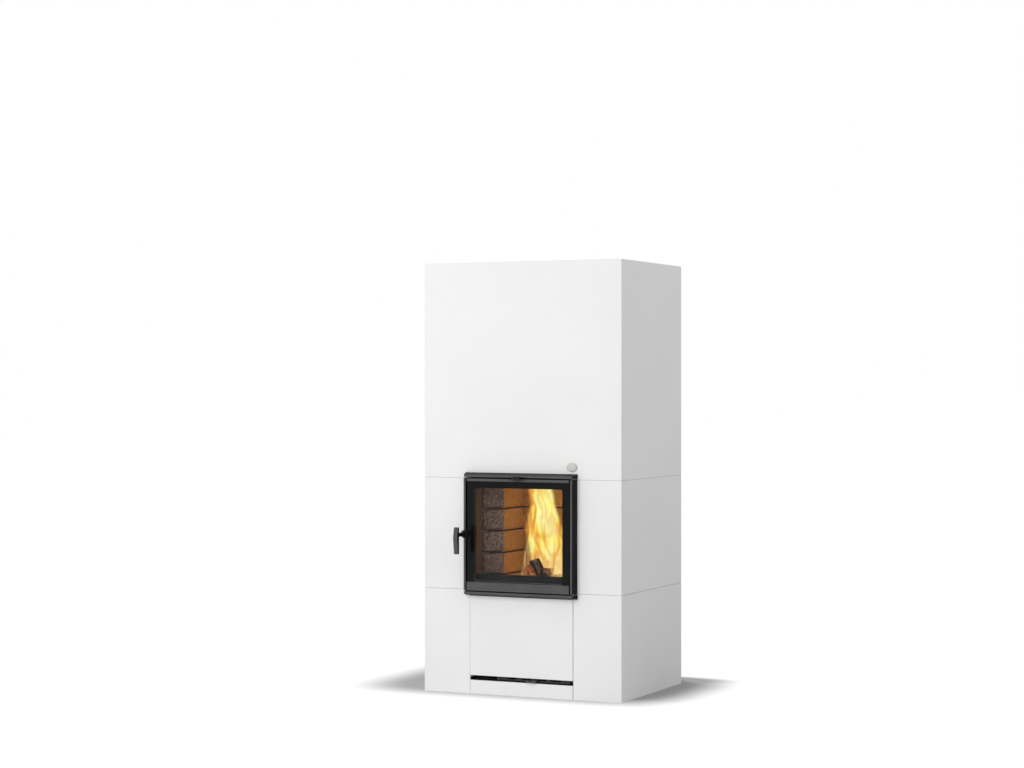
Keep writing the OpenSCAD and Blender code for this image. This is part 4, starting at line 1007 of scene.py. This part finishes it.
class STOVE_OT_seal(bpy.types.Operator):
    """Lays the braided rope in the door's groove and finishes the tape behind the glass"""
    bl_idname = "stove.seal"
    bl_label = "Seal"

    def execute(self, context):
        seal = settings("seal")
        dress(["glass_tape"], "Woven tape", yarn, 900.0)
        low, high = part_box("door_rope")
        radius = (high.y - low.y) / 2
        bend, y = seal.bend, (low.y + high.y) / 2
        x, base, top = high.x - radius - bend, low.z + radius + bend, high.z - radius - bend
        corners = [Vector(spot) for spot in ((x, y, top), (-x, y, top), (-x, y, base),
                                             (x, y, base))]
        runs = [top - base, 2 * x, top - base, 2 * x]
        quarter = math.pi / 2 * bend
        around = sum(runs) + 4 * quarter
        turns = round(around / seal.lay)

        def on_path(distance):
            """The point on the rope's middle and its outward direction."""
            for side, (corner, run) in enumerate(zip(corners, runs)):
                angle = math.radians(90 * side)
                if distance > run:
                    angle += min(distance - run, quarter) / bend
                out = Vector((math.cos(angle), 0, math.sin(angle)))
                if distance <= run:
                    ahead = Vector((-out.z, 0, out.x))
                    return corner + out * bend - ahead * (run - distance), out
                distance -= run + quarter
                if distance <= 0:
                    break
            return corner + out * bend, out

        def skin(s, t):
            centre, out = on_path(s * around if s < 1 else 0.0)
            angle = math.tau * (t if t < 1 else 0)
            one, other = (math.cos(seal.strands * angle + way * math.tau * turns * s)
                          for way in (1, -1))
            bulge = 1 - seal.relief * (1 - max(one, other)) / 2
            return centre + radius * 0.995 * bulge * (
                out * math.cos(angle) + Vector((0, 1, 0)) * math.sin(angle))

        piece("sealing_rope", sheet_of(1100, 24, skin, closed=True),
              [material("Rope yarn", yarn, 1400.0)], "door",
              replaces=["door_rope"])
        return {"FINISHED"}


# The disc's section: the size of its outline and its height, as shares of the whole
DISC_PROFILE = [(1.0, 0.35), (0.985, 0.60), (0.95, 0.83), (0.90, 0.93), (0.85, 0.95),
                (0.81, 0.925), (0.77, 0.93), (0.60, 0.965), (0.35, 0.99), (0.12, 1.0)]


class STOVE_OT_disc(bpy.types.Operator):
    """Makes the plain oval disc above the door"""
    bl_idname = "stove.disc"
    bl_label = "Oval disc"

    def execute(self, context):
        low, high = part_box("badge_disc")
        middle, size = (low + high) / 2, high - low
        bm = bmesh.new()
        ring = bmesh.ops.create_circle(bm, cap_ends=True, segments=72, radius=0.5)["verts"]
        face = bm.faces[:] or [bm.faces.new(ring)]
        at_scale, at_height = 1.0, 0.0
        for scale, height in DISC_PROFILE:
            raised = bmesh.ops.extrude_face_region(bm, geom=face)["geom"]
            face = [g for g in raised if isinstance(g, bmesh.types.BMFace)]
            verts = [g for g in raised if isinstance(g, bmesh.types.BMVert)]
            bmesh.ops.translate(bm, vec=(0, 0, height - at_height), verts=verts)
            bmesh.ops.scale(bm, vec=(scale / at_scale, scale / at_scale, 1), verts=verts)
            at_scale, at_height = scale, height
        bmesh.ops.scale(bm, vec=(size.x, size.z, size.y), verts=bm.verts)
        bmesh.ops.rotate(bm, matrix=Matrix.Rotation(math.radians(90), 3, "X"), verts=bm.verts)
        bmesh.ops.translate(bm, vec=(middle.x, high.y, middle.z), verts=bm.verts)
        piece("oval_disc", bm, [dress(["badge_disc"], "Disc lacquer", lacquer)], "root",
              replaces=["badge_disc"])
        return {"FINISHED"}


class STOVE_OT_firewood(bpy.types.Operator):
    """Stacks the split logs on the grate"""
    bl_idname = "stove.firewood"
    bl_label = "Firewood"

    def execute(self, context):
        seed = settings("fire").seed
        finishes = [material("Bark", bark), material("Split wood", split_wood),
                    material("Charred end", burnt_end)]
        for index, (name, log) in enumerate(LOGS.items()):
            piece(name, split_log(*log, seed + 3.7 * index), finishes)
        piece("log_ember", split_log(*EMBER_LOG, seed + 40.0),
              [material("Glowing charcoal", ember, 0.46, 1.1)] * 3)
        return {"FINISHED"}


class STOVE_OT_embers(bpy.types.Operator):
    """Spreads ash and pieces of glowing charcoal over the grate"""
    bl_idname = "stove.embers"
    bl_label = "Ember bed"

    def execute(self, context):
        dice = random.Random(settings("fire").seed)
        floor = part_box("firebox_floor")[1].z
        low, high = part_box("grate")
        low, high = low - Vector((0.03, 0.004, 0)), high + Vector((0.03, 0.008, 0))

        def heap(s, t):
            x, y = low.x + s * (high.x - low.x), low.y + t * (high.y - low.y)
            mound = min(1.0, 7 * min(s, 1 - s, t, 1 - t))
            rough = 0.5 + 0.5 * noise.noise(Vector((x * 38, y * 38, 3.1)))
            flake = 0.5 + 0.5 * noise.noise(Vector((x * 160, y * 160, 1.7)))
            return Vector((x, y, floor + mound * (0.0035 + 0.007 * rough + 0.0025 * flake)))

        piece("ash_bed", sheet_of(110, 80, heap), [material("Ash bed", ash)])
        bm = bmesh.new()
        uv = bm.loops.layers.uv.new(SHEET_UV)
        for _ in range(settings("fire").coals):
            x = dice.uniform(low.x + 0.02, high.x - 0.02)
            y = dice.uniform(low.y + 0.015, high.y - 0.015)
            size = dice.uniform(0.005, 0.011)
            made = bmesh.ops.create_icosphere(bm, subdivisions=2, radius=size)["verts"]
            squeeze = (1.0, dice.uniform(0.6, 1.0), dice.uniform(0.55, 0.8))
            bmesh.ops.scale(bm, vec=squeeze, verts=made)
            spin = Matrix.Rotation(dice.uniform(0, math.tau), 3, "Z")
            bmesh.ops.rotate(bm, matrix=spin, verts=made)
            for vert in made:
                vert.co += vert.co * 0.35 * noise.noise(vert.co * 190 + Vector((x, y, 0)) * 900)
            bmesh.ops.translate(bm, vec=(x, y, floor + 0.008 + size * 0.4), verts=made)
        for face in bm.faces:
            for loop in face.loops:
                spot = loop.vert.co
                loop[uv].uv = (spot.x * 9, spot.y * 9 + spot.z * 5)
        piece("charcoal", bm, [material("Glowing coals", ember, 0.40, 1.2)], smooth=False)
        return {"FINISHED"}


class STOVE_OT_flames(bpy.types.Operator):
    """Stands the flames on the wood"""
    bl_idname = "stove.flames"
    bl_label = "Flames"

    def execute(self, context):
        if settings("fire").lit:
            body, veil = material("Flame", flame, 0.90), material("Flame veil", flame, 0.50)
            pale = material("Flame wisp", wisp)
            for index, sheet in enumerate(FLAMES, 1):
                piece(f"flame_{index}", flame_sheet(*sheet),
                      [veil if sheet[0] < VEIL_FROM else body])
            for index, sheet in enumerate(WISPS, 1):
                piece(f"wisp_{index}", wisp_sheet(*sheet), [pale])
        return {"FINISHED"}


class STOVE_OT_studio(bpy.types.Operator):
    """Sets up the floor, the backdrop, the lamps and the camera"""
    bl_idname = "stove.studio"
    bl_label = "Studio"

    def execute(self, context):
        studio = settings("studio")
        scene = context.scene
        bm = bmesh.new()
        bmesh.ops.create_grid(bm, x_segments=8, y_segments=8, size=studio.floor_half)
        floor = mesh_of("studio_floor", bm, [material("Studio floor", studio_floor)], False)
        world = bpy.data.worlds.new("Studio")
        world.use_nodes = True
        world.node_tree.nodes.clear()
        w = Weaver(world.node_tree)
        soft, white = (w.give("Background", (1, 1, 1), power) for power in (studio.sky, 1.0))
        w.node("OutputWorld", w.give("MixShader", w.seen(), soft, white))
        scene.world = world
        for name, power, size, at in (
                ("key_light", studio.key, studio.key_size, studio.key_at),
                ("side_light", studio.side_fill, studio.key_size / 2, studio.side_at)):
            light = bpy.data.lights.new(name, "AREA")
            light.energy, light.size = power, size
            lamp = placed(name, light, at)
            away = lamp.location - Vector((0, 0, CAD_BOX[1][2] / 2))
            lamp.rotation_euler = away.to_track_quat("Z", "Y").to_euler()
        lens = bpy.data.cameras.new("camera")
        lens.lens, lens.sensor_width, lens.clip_end = studio.lens, 36.0, 200.0
        scene.camera = placed("camera", lens, studio.camera_at)
        scene.camera.rotation_euler = (math.radians(90), 0, studio.camera_turn)
        scene.view_settings.view_transform = "Standard"
        return {"FINISHED"}


class STOVE_PT_tools(bpy.types.Panel):
    """Lists the steps that dress the stove"""
    bl_idname = "STOVE_PT_tools"
    bl_label = "Stove"
    bl_space_type = "VIEW_3D"
    bl_region_type = "UI"
    bl_category = "Stove"

    def draw(self, context):
        for step in STEPS:
            self.layout.operator(step.bl_idname)


GROUPS = {"stone": StoveStoneSettings, "steel": StoveSteelSettings,
          "window": StoveWindowSettings, "seal": StoveSealSettings, "fire": StoveFireSettings,
          "studio": StoveStudioSettings}
STEPS = [STOVE_OT_cladding, STOVE_OT_masonry, STOVE_OT_steel, STOVE_OT_window, STOVE_OT_seal,
         STOVE_OT_disc, STOVE_OT_firewood, STOVE_OT_embers, STOVE_OT_flames, STOVE_OT_studio]


def register():
    for made in [*GROUPS.values(), *STEPS, STOVE_PT_tools]:
        bpy.utils.register_class(made)
    for name, group in GROUPS.items():
        setattr(bpy.types.Scene, "stove_" + name, PointerProperty(type=group))


def unregister():
    for name in GROUPS:
        delattr(bpy.types.Scene, "stove_" + name)
    for made in [STOVE_PT_tools, *reversed(STEPS), *GROUPS.values()]:
        bpy.utils.unregister_class(made)


def main():
    register()
    for step in STEPS:
        space, name = step.bl_idname.split(".")
        getattr(getattr(bpy.ops, space), name)()


if __name__ == "__main__":
    main()
